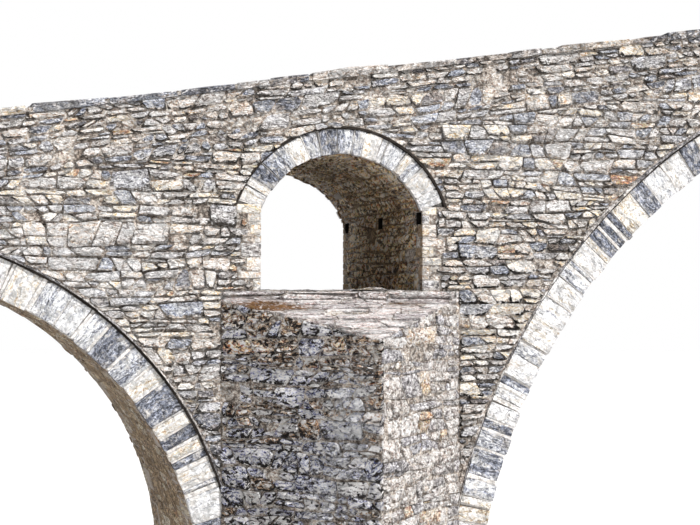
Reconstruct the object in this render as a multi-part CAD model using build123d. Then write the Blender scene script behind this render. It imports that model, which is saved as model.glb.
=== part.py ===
from build123d import *
import math
import os

# A humped stone arch bridge: one large arch between two smaller ones, with a relief window
# through the masonry over each pier and a pointed cutwater on both sides of it.
# X runs along the bridge, Y across it and Z up. The origin is on the ground under the crown.
# The model is at half size, so the real bridge is twice as large. All sizes are in millimetres.

# The whole bridge.
length = 28000.0
width = 1750.0

# Large arch: a semicircle on its springing level. Its ring is laid in straight stones.
main_radius = 3625.0
main_springing = 2125.0
main_ring = 215.0
main_stone_count = 48
main_section_count = 16

# Small arches. Their springing level follows from the masonry between their crown and the deck.
side_radius = 1975.0
side_ring = 210.0
side_stone_count = 28
side_cover = 368.0

pier_width = 1720.0

# Face masonry: outer walls and cut ring stones around a core of rubble.
facing = 350.0
ring_recess = 30.0

# Thin slabs laid over each ring, standing a little proud of the wall.
hood = 40.0
hood_proud = 10.0
hood_bed = 150.0

# Cutwaters: a pointed prism on each side of a pier, with a sloped top that starts a step
# below the window.
cutwater_set_in = 110.0
cutwater_reach = 770.0
cutwater_step = 54.0
cutwater_fall = 216.0

# Relief window over each pier, hung below the deck by its own cover of masonry.
window_cover = 143.0
window_width = 1030.0
window_jamb = 520.0
window_rise = 320.0
window_ledge = 20.0
window_ring = 150.0
window_stone_count = 24
window_lining = 150.0
window_floor = 60.0

# Sockets left in the jambs by the beams that carried the arch while it was built.
socket_width = 120.0
socket_height = 75.0
socket_depth = 110.0
socket_drop = 30.0
socket_spacing = 790.0

# The deck line is the top of the masonry under the paving: two slopes on each side of the crown.
crown_cover = 40.0
near_slope = 0.15
far_slope = 0.08
slope_change = 7250.0
crest_rounding = 13500.0
ramp_rounding = 29000.0

# Roadway.
paving = 75.0
parapet_width = 175.0
parapet_height = 58.0
coping = 25.0
coping_lip = 15.0

# The roadway is laid in bays of about this length, each nearly straight.
bay = 1750.0

# Worked out from the sizes above.
half_length = length / 2
half_width = width / 2
core_half_width = half_width - facing
ring_face = half_width - ring_recess
parapet_top = paving + parapet_height
pier_x = main_radius + pier_width / 2
side_x = main_radius + pier_width + side_radius
far_springing_x = side_x + side_radius
cutwater_half_width = pier_width / 2 - cutwater_set_in

# Heights follow the crown of the large arch: first the deck, then what hangs below it.
crest_drop = crest_rounding * (math.hypot(1, near_slope) - 1)
deck_apex = main_springing + main_radius + main_ring + hood + crown_cover + crest_drop


def deck_height(x):
    """The deck line at x, before its corners are rounded."""
    return deck_apex - near_slope * min(x, slope_change) - far_slope * max(x - slope_change, 0)


side_crown = deck_height(side_x) - side_cover
side_springing = side_crown - hood - side_ring - side_radius
window_crown = deck_height(pier_x) - window_cover - hood - window_ring
window_spring = window_crown - window_rise
window_sill = window_spring - window_jamb
cutwater_top = window_sill - cutwater_step

# The window's head is a part of a circle, narrower than the jambs by a ledge on each side.
window_half_span = window_width / 2 - window_ledge
window_radius = (window_half_span**2 + window_rise**2) / (2 * window_rise)
window_centre = window_crown - window_radius


# Elevations are drawn in X and Z, then extruded across the bridge.
def rect(x_from, x_to, z_from, z_to):
    centre = Pos((x_from + x_to) / 2, (z_from + z_to) / 2)
    return centre * Rectangle(x_to - x_from, z_to - z_from)


def rounded(x, z, radius, stones):
    """A full turn of straight ring stones, with that many in each half."""
    step = math.pi / stones
    corners = [(x + radius * math.cos(i * step), z + radius * math.sin(i * step)) for i in range(2 * stones)]
    return make_face(Polyline(*corners, close=True))


def band(x, z, inner, outer, floor, stones):
    """The part of a ring between two radii that lies above the level floor."""
    upper = rect(x - outer, x + outer, floor, z + outer)
    return (rounded(x, z, outer, stones) - rounded(x, z, inner, stones)) & upper


def in_sections(part, x, z, radius, count):
    """Cut the upper half of a ring at radial joints, into equal sections."""
    step = math.pi / count
    sections = []
    for i in range(count):
        reach = radius / math.cos(step / 2)
        ends = [(x + reach * math.cos(a), z + reach * math.sin(a)) for a in (i * step, (i + 1) * step)]
        wedge = make_face(Polyline((x, z), *ends, close=True))
        sections += (part & across(wedge, -width, width)).solids()
    return Compound(children=sections)


def under_deck(rise, x_from, x_to, z_from):
    """Everything from z_from up to the deck line raised by rise."""
    past_end = half_length + pier_width
    points = [(x, deck_height(abs(x)) + rise) for x in (-past_end, -slope_change, 0, slope_change, past_end)]
    line = FilletPolyline(*points, radius=[ramp_rounding, crest_rounding, ramp_rounding])
    sides = Polyline(points[-1], (past_end, 0), (-past_end, 0), points[0])
    return make_face(line + sides) & rect(x_from, x_to, z_from, deck_apex + rise)


def across(face, y_from, y_to):
    """Extrude an elevation from y_from to y_to."""
    return extrude(Plane.XZ.offset(-y_to) * face, y_to - y_from)


def to_left(part):
    return mirror(part, Plane.YZ)


def to_back(part):
    return mirror(part, Plane.XZ)


def front_and_back(part):
    return Compound(children=[*part.solids(), *to_back(part).solids()])


# Window over the right-hand pier.
def window_void(radius, floor):
    """The opening in elevation, with its head drawn to the given radius."""
    jambs = rect(pier_x - window_width / 2, pier_x + window_width / 2, floor, window_spring)
    head_top = rect(pier_x - radius, pier_x + radius, window_spring, window_centre + radius)
    return jambs + (rounded(pier_x, window_centre, radius, window_stone_count) & head_top)


def window_band(inner, outer):
    return band(pier_x, window_centre, inner, outer, window_spring, window_stone_count)


def window_ring_part():
    outer = window_radius + window_ring
    face = window_band(window_radius, outer)
    return across(face, -ring_face, -core_half_width)


def window_hood_part():
    inner = window_radius + window_ring
    face = window_band(inner, inner + hood)
    return across(face, -half_width - hood_proud, -half_width + hood_bed)


def window_outer_outline():
    """The lining's outer outline, down to the underside of the window's floor."""
    outer = window_width / 2 + window_lining
    bottom = window_sill - window_floor
    walls = rect(pier_x - outer, pier_x + outer, bottom, window_spring)
    radius = window_radius + window_lining
    head_top = rect(pier_x - radius, pier_x + radius, window_spring, window_centre + radius)
    return walls + (rounded(pier_x, window_centre, radius, window_stone_count) & head_top)


def window_sockets():
    """Sockets under the springing in both jambs: one halfway through and one near each face."""
    reach = window_width + 2 * socket_depth
    z = window_spring - socket_drop - socket_height / 2
    centres = [Pos(pier_x, y, z) for y in (-socket_spacing, 0, socket_spacing)]
    return [centre * Box(reach, socket_width, socket_height) for centre in centres]


def window_lining_part():
    bottom = window_sill - window_floor
    face = window_outer_outline() - window_void(window_radius, bottom)
    lining = across(face, -core_half_width, core_half_width)
    for socket in window_sockets():
        lining -= socket
    return lining


def window_floor_part():
    left, right = pier_x - window_width / 2, pier_x + window_width / 2
    face = rect(left, right, window_sill - window_floor, window_sill)
    return across(face, -half_width, half_width)


# Arches.
def main_band(inner, outer):
    return band(0, main_springing, inner, outer, main_springing, main_stone_count)


def side_band(inner, outer):
    return band(side_x, side_springing, inner, outer, side_springing, side_stone_count)


def ring_part(face):
    return across(face, -ring_face, -core_half_width)


def barrel_part(face):
    return across(face, -core_half_width, core_half_width)


def cutwater_zone(x):
    """The stretch of the face that a cutwater covers."""
    face = rect(x - cutwater_half_width, x + cutwater_half_width, 0, cutwater_top)
    return across(face, -width, width)


def hood_part(face):
    part = across(face, -half_width - hood_proud, -half_width + hood_bed)
    return part - cutwater_zone(pier_x) - cutwater_zone(-pier_x)


# Everything below is built for the front right quarter and mirrored where it repeats.
main_extrados = main_radius + main_ring
side_extrados = side_radius + side_ring
main_ring_face = main_band(main_radius, main_extrados)
side_ring_face = side_band(side_radius, side_extrados)
main_hood = hood_part(main_band(main_extrados, main_extrados + hood))
side_hood = hood_part(side_band(side_extrados, side_extrados + hood))
window_hood = window_hood_part()
hoods = [main_hood, side_hood, window_hood]

# Solid masonry below the arches.
pier_face = rect(main_radius, main_radius + pier_width, 0, side_springing)
pier_face -= main_band(main_radius, main_extrados)
pier = across(pier_face, -half_width, half_width)
abutment = across(rect(far_springing_x, half_length, 0, side_springing), -half_width, half_width)


# Face walls above the springings, cut to the rings and slabs that they stand on.
def wall_face(x_from, x_to):
    face = under_deck(0, x_from, x_to, side_springing)
    face -= rounded(0, main_springing, main_extrados, main_stone_count)
    face -= rounded(side_x, side_springing, side_extrados, side_stone_count)
    return face


def spandrel_part(x_from, x_to, opening=None):
    face = wall_face(x_from, x_to)
    if opening:
        face -= opening
    part = across(face, -half_width, -core_half_width)
    for cut in hoods + window_sockets():
        part -= cut
    return part


def core_part(x_from, x_to, opening=None):
    face = wall_face(x_from, x_to)
    if opening:
        face -= opening
    return across(face, -core_half_width, core_half_width)


window_bottom = window_sill - window_floor
opening_to_ring = window_void(window_radius + window_ring, window_bottom)
spandrel_inner = spandrel_part(0, side_x, opening_to_ring)
spandrel_outer = spandrel_part(side_x, half_length)
core_inner = core_part(0, side_x, window_outer_outline())
core_outer = core_part(side_x, half_length)


# A cutwater: a pointed plan, a top that falls to the nose, and a thin back that fills the
# recess in front of the ring stones.
def cutwater_part():
    left, right = pier_x - cutwater_half_width, pier_x + cutwater_half_width
    nose_y = -half_width - cutwater_reach
    plan = make_face(
        Polyline((left, -half_width), (pier_x, nose_y), (right, -half_width), close=True)
    )
    prism = extrude(plan, cutwater_top)
    side_view = make_face(
        Polyline(
            (-half_width, 0),
            (-half_width, cutwater_top),
            (nose_y, cutwater_top - cutwater_fall),
            (nose_y, 0),
            close=True,
        )
    )
    slope = extrude(Plane.YZ.offset(left) * side_view, right - left)
    part = prism & slope
    zone = rect(left, right, 0, cutwater_top)
    for ring_front in (main_ring_face & zone, side_ring_face & zone):
        part += across(ring_front, -half_width, -ring_face)
    return part


cutwater = cutwater_part()


# Roadway: bands that follow the deck line.
def deck_course(low, high, y_from, y_to, x_from, x_to):
    """A band that follows the deck line between two heights over it, in bays."""
    count = round((x_to - x_from) / bay)
    step = (x_to - x_from) / count
    bays = []
    for i in range(count):
        face = deck_band(low, high, x_from + i * step, x_from + (i + 1) * step)
        bays += across(face, y_from, y_to).solids()
    return Compound(children=bays)


def deck_band(low, high, x_from, x_to):
    return under_deck(high, x_from, x_to, 0) - under_deck(low, x_from, x_to, 0)


kerb_line = half_width - parapet_width
paving_half = deck_course(0, paving, -kerb_line, kerb_line, 0, half_length)
parapet = deck_course(0, parapet_top, -half_width, -kerb_line, -half_length, half_length)
coping_course = across(
    deck_band(parapet_top, parapet_top + coping, -half_length, half_length),
    -half_width - coping_lip,
    -kerb_line,
)

def main_sections(part):
    return in_sections(part, 0, main_springing, main_extrados, main_section_count)


main_ring_part = main_sections(ring_part(main_ring_face))

nodes = {
    "main_barrel": main_sections(barrel_part(main_ring_face)),
    "main_ring_front": main_ring_part,
    "main_ring_back": to_back(main_ring_part),
    "main_hood_slabs": front_and_back(main_hood),
    "parapet_front": parapet,
    "parapet_back": to_back(parapet),
    "coping_front": coping_course,
    "coping_back": to_back(coping_course),
}

# Pieces of the right half, which the left half repeats.
right_half = {
    "pier": pier,
    "abutment": abutment,
    "cutwater_front": cutwater,
    "cutwater_back": to_back(cutwater),
    "side_barrel": barrel_part(side_ring_face),
    "side_rings": front_and_back(ring_part(side_ring_face)),
    "side_hood_slabs": front_and_back(side_hood),
    "window_rings": front_and_back(window_ring_part()),
    "window_hood_slabs": front_and_back(window_hood),
    "window_lining": window_lining_part(),
    "window_floor": window_floor_part(),
    "wall_front_inner": spandrel_inner,
    "wall_back_inner": to_back(spandrel_inner),
    "wall_front_outer": spandrel_outer,
    "wall_back_outer": to_back(spandrel_outer),
    "core_inner": core_inner,
    "core_outer": core_outer,
    "paving": paving_half,
}
for name, part in right_half.items():
    nodes[name + "_right"] = part
    nodes[name + "_left"] = to_left(part)

os.makedirs("parts", exist_ok=True)
for name, part in nodes.items():
    export_step(part, f"parts/{name}.step")
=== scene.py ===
import math
import random
from collections import namedtuple
from functools import cache

import bmesh
import bpy
from bpy.props import FloatProperty, FloatVectorProperty, IntProperty, PointerProperty
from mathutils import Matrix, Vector, noise


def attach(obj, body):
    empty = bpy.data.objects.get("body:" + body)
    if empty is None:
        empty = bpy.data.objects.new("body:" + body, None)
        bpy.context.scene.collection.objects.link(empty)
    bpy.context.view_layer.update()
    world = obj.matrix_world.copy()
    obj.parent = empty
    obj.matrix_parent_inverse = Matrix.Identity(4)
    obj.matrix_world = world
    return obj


bl_info = {
    "name": "Stone Arch Bridge",
    "version": (1, 0, 0),
    "blender": (4, 5, 0),
    "location": "View3D > Sidebar > Bridge",
    "description": "Lays the stonework of a humped arch bridge over its packed solids",
    "category": "Object",
}

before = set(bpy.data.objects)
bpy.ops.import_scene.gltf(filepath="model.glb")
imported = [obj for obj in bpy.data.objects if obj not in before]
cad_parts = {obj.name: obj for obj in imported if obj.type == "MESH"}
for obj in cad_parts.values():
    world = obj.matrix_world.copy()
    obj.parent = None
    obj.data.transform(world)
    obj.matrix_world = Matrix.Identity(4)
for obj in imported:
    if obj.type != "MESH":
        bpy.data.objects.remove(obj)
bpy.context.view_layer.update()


# Sizes, in metres of the model, which is half as large as the real bridge.
def length_property(name, default, description):
    return FloatProperty(name=name, default=default, description=description, min=0.0, unit="LENGTH")


class BridgeSizes(bpy.types.PropertyGroup):
    """Sizes of the solids that the stones are laid on."""

    half_length: length_property("Half length", 14.0, "From the crown to either end")
    half_width: length_property("Half width", 0.875, "From the middle to either face")
    main_radius: length_property("Large arch radius", 3.625, "Radius of the large arch's underside")
    main_springing: length_property("Large arch springing", 2.125, "Height where the large arch starts")
    main_ring: length_property("Large ring", 0.215, "Depth of the large arch's ring stones")
    side_radius: length_property("Small arch radius", 1.975, "Radius of the small arches' underside")
    side_ring: length_property("Small ring", 0.21, "Depth of the small arches' ring stones")
    side_cover: length_property("Small arch cover", 0.368, "Masonry between a small arch and the deck")
    pier_width: length_property("Pier width", 1.72, "Width of a pier along the bridge")
    ring_recess: length_property("Ring recess", 0.03, "How far the rings lie behind the face")
    hood: length_property("Hood", 0.04, "Thickness of the slabs over each ring")
    cutwater_set_in: length_property("Cutwater set-in", 0.11, "From a pier's edge to its cutwater")
    cutwater_reach: length_property("Cutwater reach", 0.77, "How far a cutwater stands out")
    cutwater_step: length_property("Cutwater step", 0.054, "From the window's sill down to a cutwater's top")
    cutwater_fall: length_property("Cutwater fall", 0.216, "Fall of a cutwater's top to its nose")
    window_cover: length_property("Window cover", 0.143, "Masonry between a window and the deck")
    window_width: length_property("Window width", 1.03, "Width between the jambs")
    window_jamb: length_property("Window jamb", 0.52, "Height of the jambs")
    window_rise: length_property("Window rise", 0.32, "Rise of the window's arch")
    window_ledge: length_property("Window ledge", 0.02, "How far the window's arch overhangs its jambs")
    window_ring: length_property("Window ring", 0.15, "Depth of the window's ring stones")
    socket_width: length_property("Socket width", 0.12, "Width of a beam socket")
    socket_height: length_property("Socket height", 0.075, "Height of a beam socket")
    socket_drop: length_property("Socket drop", 0.03, "From the springing down to the sockets")
    socket_spacing: length_property("Socket spacing", 0.79, "From the middle to the outer sockets")
    crown_cover: length_property("Crown cover", 0.04, "Masonry between the large arch and the deck")
    slope_change: length_property("Slope change", 7.25, "Where the deck's slope eases")
    crest_rounding: length_property("Crest rounding", 13.5, "Radius of the deck over the crown")
    ramp_rounding: length_property("Ramp rounding", 29.0, "Radius of the deck where its slope eases")
    paving: length_property("Paving", 0.075, "Thickness of the paving")
    parapet_width: length_property("Parapet width", 0.175, "Width of the low parapets")
    parapet_height: length_property("Parapet height", 0.058, "Height of the parapets over the paving")
    coping: length_property("Coping", 0.025, "Thickness of the coping's bed")
    near_slope: FloatProperty(name="Near slope", default=0.15, description="Fall of the deck near the crown")
    far_slope: FloatProperty(name="Far slope", default=0.08, description="Fall of the deck near the ends")


class BridgeStonework(bpy.types.PropertyGroup):
    """Sizes of the stones."""

    lift_low: length_property("Lowest lift", 0.07, "Smallest height of a rough course")
    lift_high: length_property("Highest lift", 0.115, "Largest height of a rough course")
    stone_low: length_property("Shortest stone", 0.06, "Smallest length aimed at")
    stone_high: length_property("Longest stone", 0.18, "Largest length aimed at")
    joint: length_property("Joint", 0.0017, "How far a stone keeps from the next, on each side")
    proud_low: length_property("Least relief", 0.003, "Least relief of a stone over its mortar")
    proud_high: length_property("Most relief", 0.018, "Most relief of a stone over its mortar")
    edge: length_property("Worn edge", 0.0034, "Width of a stone's worn edge")
    voussoir_low: length_property("Thinnest ring stone", 0.05, "Smallest thickness of a ring stone")
    voussoir_high: length_property("Thickest ring stone", 0.2, "Largest thickness of a ring stone")
    seed: IntProperty(name="Seed", default=11, description="Chooses another laying of the same stonework")


class BridgeStage(bpy.types.PropertyGroup):
    """Camera, light and floor."""

    camera_place: FloatVectorProperty(
        name="Camera place",
        default=(-7.0376, -9.6262, 4.3536),
        subtype="TRANSLATION",
        description="Camera place",
    )
    camera_turn: FloatProperty(
        name="Camera turn",
        default=0.2886,
        subtype="ANGLE",
        description="Turn of the camera to the right",
    )
    camera_lift: FloatProperty(
        name="Camera lift",
        default=0.0186,
        subtype="ANGLE",
        description="Lift of the camera over level",
    )
    lens: FloatProperty(name="Lens", default=77.14, min=1.0, description="Focal length in millimetres")
    sun_strength: FloatProperty(name="Sun", default=4.5, min=0.0, description="Strength of the sun")
    sun_side: FloatProperty(name="Sun side", default=36.0, description="Degrees from the front to the right")
    sun_height: FloatProperty(name="Sun height", default=47.0, description="Degrees over the horizon")
    sky_strength: FloatProperty(name="Sky", default=0.5, min=0.0, description="Strength of the sky's light")
    floor_colour: FloatVectorProperty(
        name="Floor colour",
        default=(0.72, 0.71, 0.69),
        subtype="COLOR",
        description="Colour of the floor",
    )


# The two faces and the two halves of the bridge.
FACES = ((-1, "front"), (1, "back"))
HALVES = ((-1, "left"), (1, "right"))

# How far the stones of a face keep from openings and from corner blocks.
CLEAR = 0.004

# Where the backs of the stones lie, behind the surface they are laid on.
FACE_BED = -0.012
INNER_BED = -0.01
THIN_BED = -0.008
COPING_BED = -0.006
RING_BED = -0.02
HOOD_BED = -0.1

# The rubble right under the coping is laid in a band that follows the deck line.
TOP_BAND = 0.36

# An arch of a face: the radius of its underside, the depth of its ring and the angle where its ring starts.
Arch = namedtuple("Arch", "label x centre radius ring foot")


def sizes():
    return bpy.context.scene.bridge_sizes


def stonework():
    return bpy.context.scene.bridge_stonework


# The solids' outlines, worked out as in the part's own source.
def deck_apex():
    """Height where the two slopes of the deck would meet over the crown."""
    z = sizes()
    drop = z.crest_rounding * (math.hypot(1, z.near_slope) - 1)
    return z.main_springing + z.main_radius + z.main_ring + z.hood + z.crown_cover + drop


def deck(x):
    """Height of the masonry under the paving at x."""
    z = sizes()
    x = abs(x)
    crest = z.crest_rounding * z.near_slope
    ramp = z.ramp_rounding * (z.near_slope - z.far_slope) / 2
    if x < crest:
        return deck_apex() - z.near_slope * (x * x / (2 * crest) + crest / 2)
    height = deck_apex() - z.near_slope * x
    into_ramp = x - z.slope_change + ramp
    if into_ramp <= 0:
        return height
    eased = min(into_ramp, 2 * ramp)
    height += (z.near_slope - z.far_slope) * eased * eased / (4 * ramp)
    return height + (z.near_slope - z.far_slope) * max(0.0, into_ramp - 2 * ramp)


def straight_deck(x):
    """Height of the deck at x, as if its corners weren't rounded."""
    z = sizes()
    return deck_apex() - z.near_slope * min(x, z.slope_change) - z.far_slope * max(0.0, x - z.slope_change)


def wall_top(x):
    """Height of the parapet's top under the coping at x."""
    z = sizes()
    return deck(x) + z.paving + z.parapet_height


def pier_x():
    return sizes().main_radius + sizes().pier_width / 2


def side_x():
    return sizes().main_radius + sizes().pier_width + sizes().side_radius


def cutwater_half_width():
    return sizes().pier_width / 2 - sizes().cutwater_set_in


def side_springing():
    z = sizes()
    return straight_deck(side_x()) - z.side_cover - z.hood - z.side_ring - z.side_radius


def window_crown():
    z = sizes()
    return straight_deck(pier_x()) - z.window_cover - z.hood - z.window_ring


def window_spring():
    return window_crown() - sizes().window_rise


def window_sill():
    return window_spring() - sizes().window_jamb


def cutwater_top():
    return window_sill() - sizes().cutwater_step


def window_radius():
    z = sizes()
    half_span = z.window_width / 2 - z.window_ledge
    return (half_span**2 + z.window_rise**2) / (2 * z.window_rise)


def window_centre():
    return window_crown() - window_radius()


def arches():
    """Every arch of a face: the large one, the small ones and the windows' heads."""
    z = sizes()
    found = [Arch("main", 0, z.main_springing, z.main_radius, z.main_ring, 0.0)]
    foot = math.asin((window_spring() - window_centre()) / (window_radius() + z.window_ring / 2))
    for half, word in HALVES:
        found += [
            Arch(f"side_{word}", half * side_x(), side_springing(), z.side_radius, z.side_ring, 0.0),
            Arch(f"window_{word}", half * pier_x(), window_centre(), window_radius(), z.window_ring, foot),
        ]
    return found


def hooded_arches():
    """The arches whose hoods and undersides are laid like the large one's."""
    return [arch for arch in arches() if not arch.label.startswith("window")]


# Flat polygons.
def clip(points, nx, ny, limit):
    """Keep the part of a polygon where nx * x + ny * y stays under the limit, or nothing."""
    kept = []
    for i, here in enumerate(points):
        before = points[i - 1]
        past = nx * here[0] + ny * here[1] - limit
        past_before = nx * before[0] + ny * before[1] - limit
        if (past > 0) != (past_before > 0):
            f = past_before / (past_before - past)
            kept.append((before[0] + f * (here[0] - before[0]), before[1] + f * (here[1] - before[1])))
        if past <= 0:
            kept.append(here)
    return kept if len(kept) > 2 else []


def area(points):
    total = 0.0
    for i, (x, y) in enumerate(points):
        total += points[i - 1][0] * y - x * points[i - 1][1]
    return total / 2


def middle(points):
    return sum(p[0] for p in points) / len(points), sum(p[1] for p in points) / len(points)


def toward(p, q, reach, share=0.4):
    """A point on the way from p to q, no further than a reach or a share of the way."""
    length = math.dist(p, q)
    f = min(reach / length, share) if length > 1e-6 else 0.0
    return p[0] + f * (q[0] - p[0]), p[1] + f * (q[1] - p[1])


def outside_circle(points, x, y, radius):
    """Cut a polygon along the tangent of a circle, on the polygon's side of it."""
    if not points:
        return []
    cx, cy = middle(points)
    reach = math.hypot(cx - x, cy - y)
    nx, ny = (cx - x) / reach, (cy - y) / reach
    return clip(points, -nx, -ny, -(nx * x + ny * y + radius))


def outside_box(points, left, right, low, high):
    """Cut a polygon off a box, on the side that leaves most of it."""
    if not points:
        return []
    across = [p[0] for p in points]
    up = [p[1] for p in points]
    if max(across) <= left or min(across) >= right or max(up) <= low or min(up) >= high:
        return points
    parts = (
        clip(points, 1, 0, left),
        clip(points, -1, 0, -right),
        clip(points, 0, 1, low),
        clip(points, 0, -1, -high),
    )
    return max(parts, key=lambda part: abs(area(part)))


# Stones: an outline, its rise, its tilt along and up, and its tone.
class Laying:
    """How rough or regular a stretch of stonework is laid.

    Courses are lift high and cut into cells, and a cell holds one to three rows of stones, with the chances
    in rows. Each tone range is (weight, low, high). The lengths are in metres.
    """

    def __init__(self, seed, **changes):
        s = stonework()
        self.rnd = random.Random(s.seed * 1000 + seed)
        self.phase = self.rnd.uniform(0, 100)
        self.lift = (s.lift_low, s.lift_high)
        self.cell = (0.15, 0.32)
        self.length = (s.stone_low, s.stone_high)
        self.rows = (0.28, 0.57, 0.15)
        self.joint = s.joint
        self.wander = 0.042
        self.lean = 0.065
        self.cut = 0.03
        self.cut_chance = 0.46
        self.proud = (s.proud_low, s.proud_high)
        self.tilt = 0.1
        self.hollow = 0.02
        self.warp = 0.011
        self.loose = False
        self.tones = WALL_TONES
        self.least_area = 0.0008
        for name, value in changes.items():
            setattr(self, name, value)

    def tone(self):
        pick = self.rnd.uniform(0, sum(t[0] for t in self.tones))
        for weight, low, high in self.tones:
            pick -= weight
            if pick <= 0:
                return self.rnd.uniform(low, high)
        return 0.5


WALL_TONES = (
    (0.05, 0.0, 0.08),
    (0.11, 0.1, 0.24),
    (0.22, 0.26, 0.44),
    (0.34, 0.44, 0.66),
    (0.18, 0.66, 0.8),
    (0.07, 0.8, 0.87),
    (0.03, 0.9, 0.98),
)
TOP_TONES = ((0.07, 0.0, 0.1), (0.16, 0.1, 0.26), (0.36, 0.26, 0.46), (0.33, 0.46, 0.7), (0.08, 0.7, 0.93))
HIGH_SHADED_TONES = ((0.56, 0.0, 0.13), (0.2, 0.25, 0.5), (0.18, 0.5, 0.72), (0.06, 0.96, 1.0))
LOW_SHADED_TONES = ((0.1, 0.0, 0.14), (0.55, 0.25, 0.5), (0.3, 0.5, 0.8), (0.05, 0.95, 1.0))
PALE_TONES = ((0.1, 0.05, 0.3), (0.24, 0.3, 0.48), (0.38, 0.48, 0.7), (0.2, 0.7, 0.87), (0.08, 0.92, 1.0))
JAMB_TONES = ((0.1, 0.3, 0.46), (0.3, 0.5, 0.68), (0.55, 0.7, 0.88), (0.05, 0.9, 0.96))
RING_TONES = ((0.28, 0.0, 0.2), (0.14, 0.26, 0.45), (0.48, 0.54, 0.8), (0.1, 0.8, 0.96))
WINDOW_RING_TONES = ((0.08, 0.06, 0.2), (0.36, 0.28, 0.44), (0.46, 0.54, 0.8), (0.1, 0.8, 0.96))
BROWN_TONES = ((0.45, 0.0, 0.4), (0.4, 0.5, 0.9), (0.15, 0.9, 1.0))
SLAB_TONES = ((0.3, 0.0, 0.3), (0.45, 0.3, 0.6), (0.25, 0.6, 1.0))
HOOD_TONES = ((0.5, 0.1, 0.4), (0.4, 0.4, 0.6), (0.1, 0.6, 0.8))


def knock_corners(shape, style):
    """Break some corners off an outline and bend some of its long sides."""
    rnd = style.rnd
    rough = []
    for i, p in enumerate(shape):
        before, after = shape[i - 1], shape[(i + 1) % len(shape)]
        if rnd.random() < style.cut_chance:
            reach = style.cut * rnd.uniform(0.35, 1.0)
            rough.append(toward(p, before, reach * rnd.uniform(0.5, 1.3)))
            rough.append(toward(p, after, reach * rnd.uniform(0.5, 1.3)))
        else:
            rough.append(p)
        side = math.dist(p, after)
        if side > 0.055 and rnd.random() < 0.42:
            bend = rnd.uniform(-0.06, 0.035) * min(side, 0.1)
            f = rnd.uniform(0.3, 0.7)
            dx, dy = (after[0] - p[0]) / side, (after[1] - p[1]) / side
            rough.append((p[0] + f * side * dx - bend * dy, p[1] + f * side * dy + bend * dx))
    return rough


def dress(corners, style, bounds=None):
    """A stone's outline from its cell: drawn in by the joint, cut to its bounds, corners knocked off."""
    if area(corners) < 0:
        corners = corners[::-1]
    shape = corners
    for i, a in enumerate(corners):
        b = corners[(i + 1) % len(corners)]
        side = math.dist(a, b)
        if side < 1e-6:
            continue
        nx, ny = (b[1] - a[1]) / side, (a[0] - b[0]) / side
        shape = clip(shape, nx, ny, nx * a[0] + ny * a[1] - style.joint * style.rnd.uniform(0.3, 1.8))
    if bounds and shape:
        shape = bounds(shape)
    if area(shape) < style.least_area:
        return None
    shape = knock_corners(shape, style)
    lean = [p for i, p in enumerate(shape) if math.dist(p, shape[i - 1]) > 0.004]
    return lean if len(lean) > 2 else None


def finish_stone(outline, style):
    """A stone as (outline, rise, tilt along, tilt up, tone). A few stand out more than the others."""
    rnd = style.rnd
    size = math.sqrt(abs(area(outline)))
    tilt = style.tilt * min(1.0, 0.08 / size)
    rise = rnd.uniform(*style.proud)
    if rnd.random() < 0.16:
        rise += rnd.uniform(0.2, 0.7) * style.proud[1]
    return outline, rise, rnd.gauss(0, tilt), rnd.gauss(0, tilt), style.tone()


def patch(quad, u, v):
    """A point inside a quad, from its fractions along and up."""
    (ax, ay), (bx, by), (cx, cy), (dx, dy) = quad
    low = (ax + u * (bx - ax), ay + u * (by - ay))
    high = (dx + u * (cx - dx), dy + u * (cy - dy))
    return low[0] + v * (high[0] - low[0]), low[1] + v * (high[1] - low[1])


def split_cell(quad, width, style):
    """Fill a cell of a course with one to three rows of stones."""
    rnd = style.rnd
    rows = rnd.choices((1, 2, 3), style.rows)[0]
    cuts = [(0.0, 0.0)]
    for i in range(1, rows):
        level = i / rows + rnd.uniform(-0.13, 0.13)
        cuts.append((level + rnd.uniform(-0.09, 0.09), level + rnd.uniform(-0.09, 0.09)))
    cuts.append((1.0, 1.0))
    for (l_low, r_low), (l_high, r_high) in zip(cuts, cuts[1:]):
        aim = rnd.uniform(*style.length) * (1.25 if rows == 1 else 1.0)
        count = max(1, round(width / aim))
        joints = [(0.0, 0.0)]
        for i in range(1, count):
            at = (i + rnd.uniform(-0.28, 0.28)) / count
            lean = rnd.uniform(-0.5, 0.5) * style.lean / width
            joints.append((at - lean, at + lean))
        joints.append((1.0, 1.0))
        for (u_low, u_high), (w_low, w_high) in zip(joints, joints[1:]):
            yield [
                patch(quad, u_low, l_low + u_low * (r_low - l_low)),
                patch(quad, w_low, l_low + w_low * (r_low - l_low)),
                patch(quad, w_high, l_high + w_high * (r_high - l_high)),
                patch(quad, u_high, l_high + u_high * (r_high - l_high)),
            ]


def warped(point, style):
    """Move a point a little, with its neighbours, so that beds and joints aren't straight."""
    s, t = point
    first = noise.noise((s * 11, t * 11, style.phase + 30))
    second = noise.noise((s * 11, t * 11, style.phase + 60))
    return s + style.warp * 1.3 * first, t + style.warp * second


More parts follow.
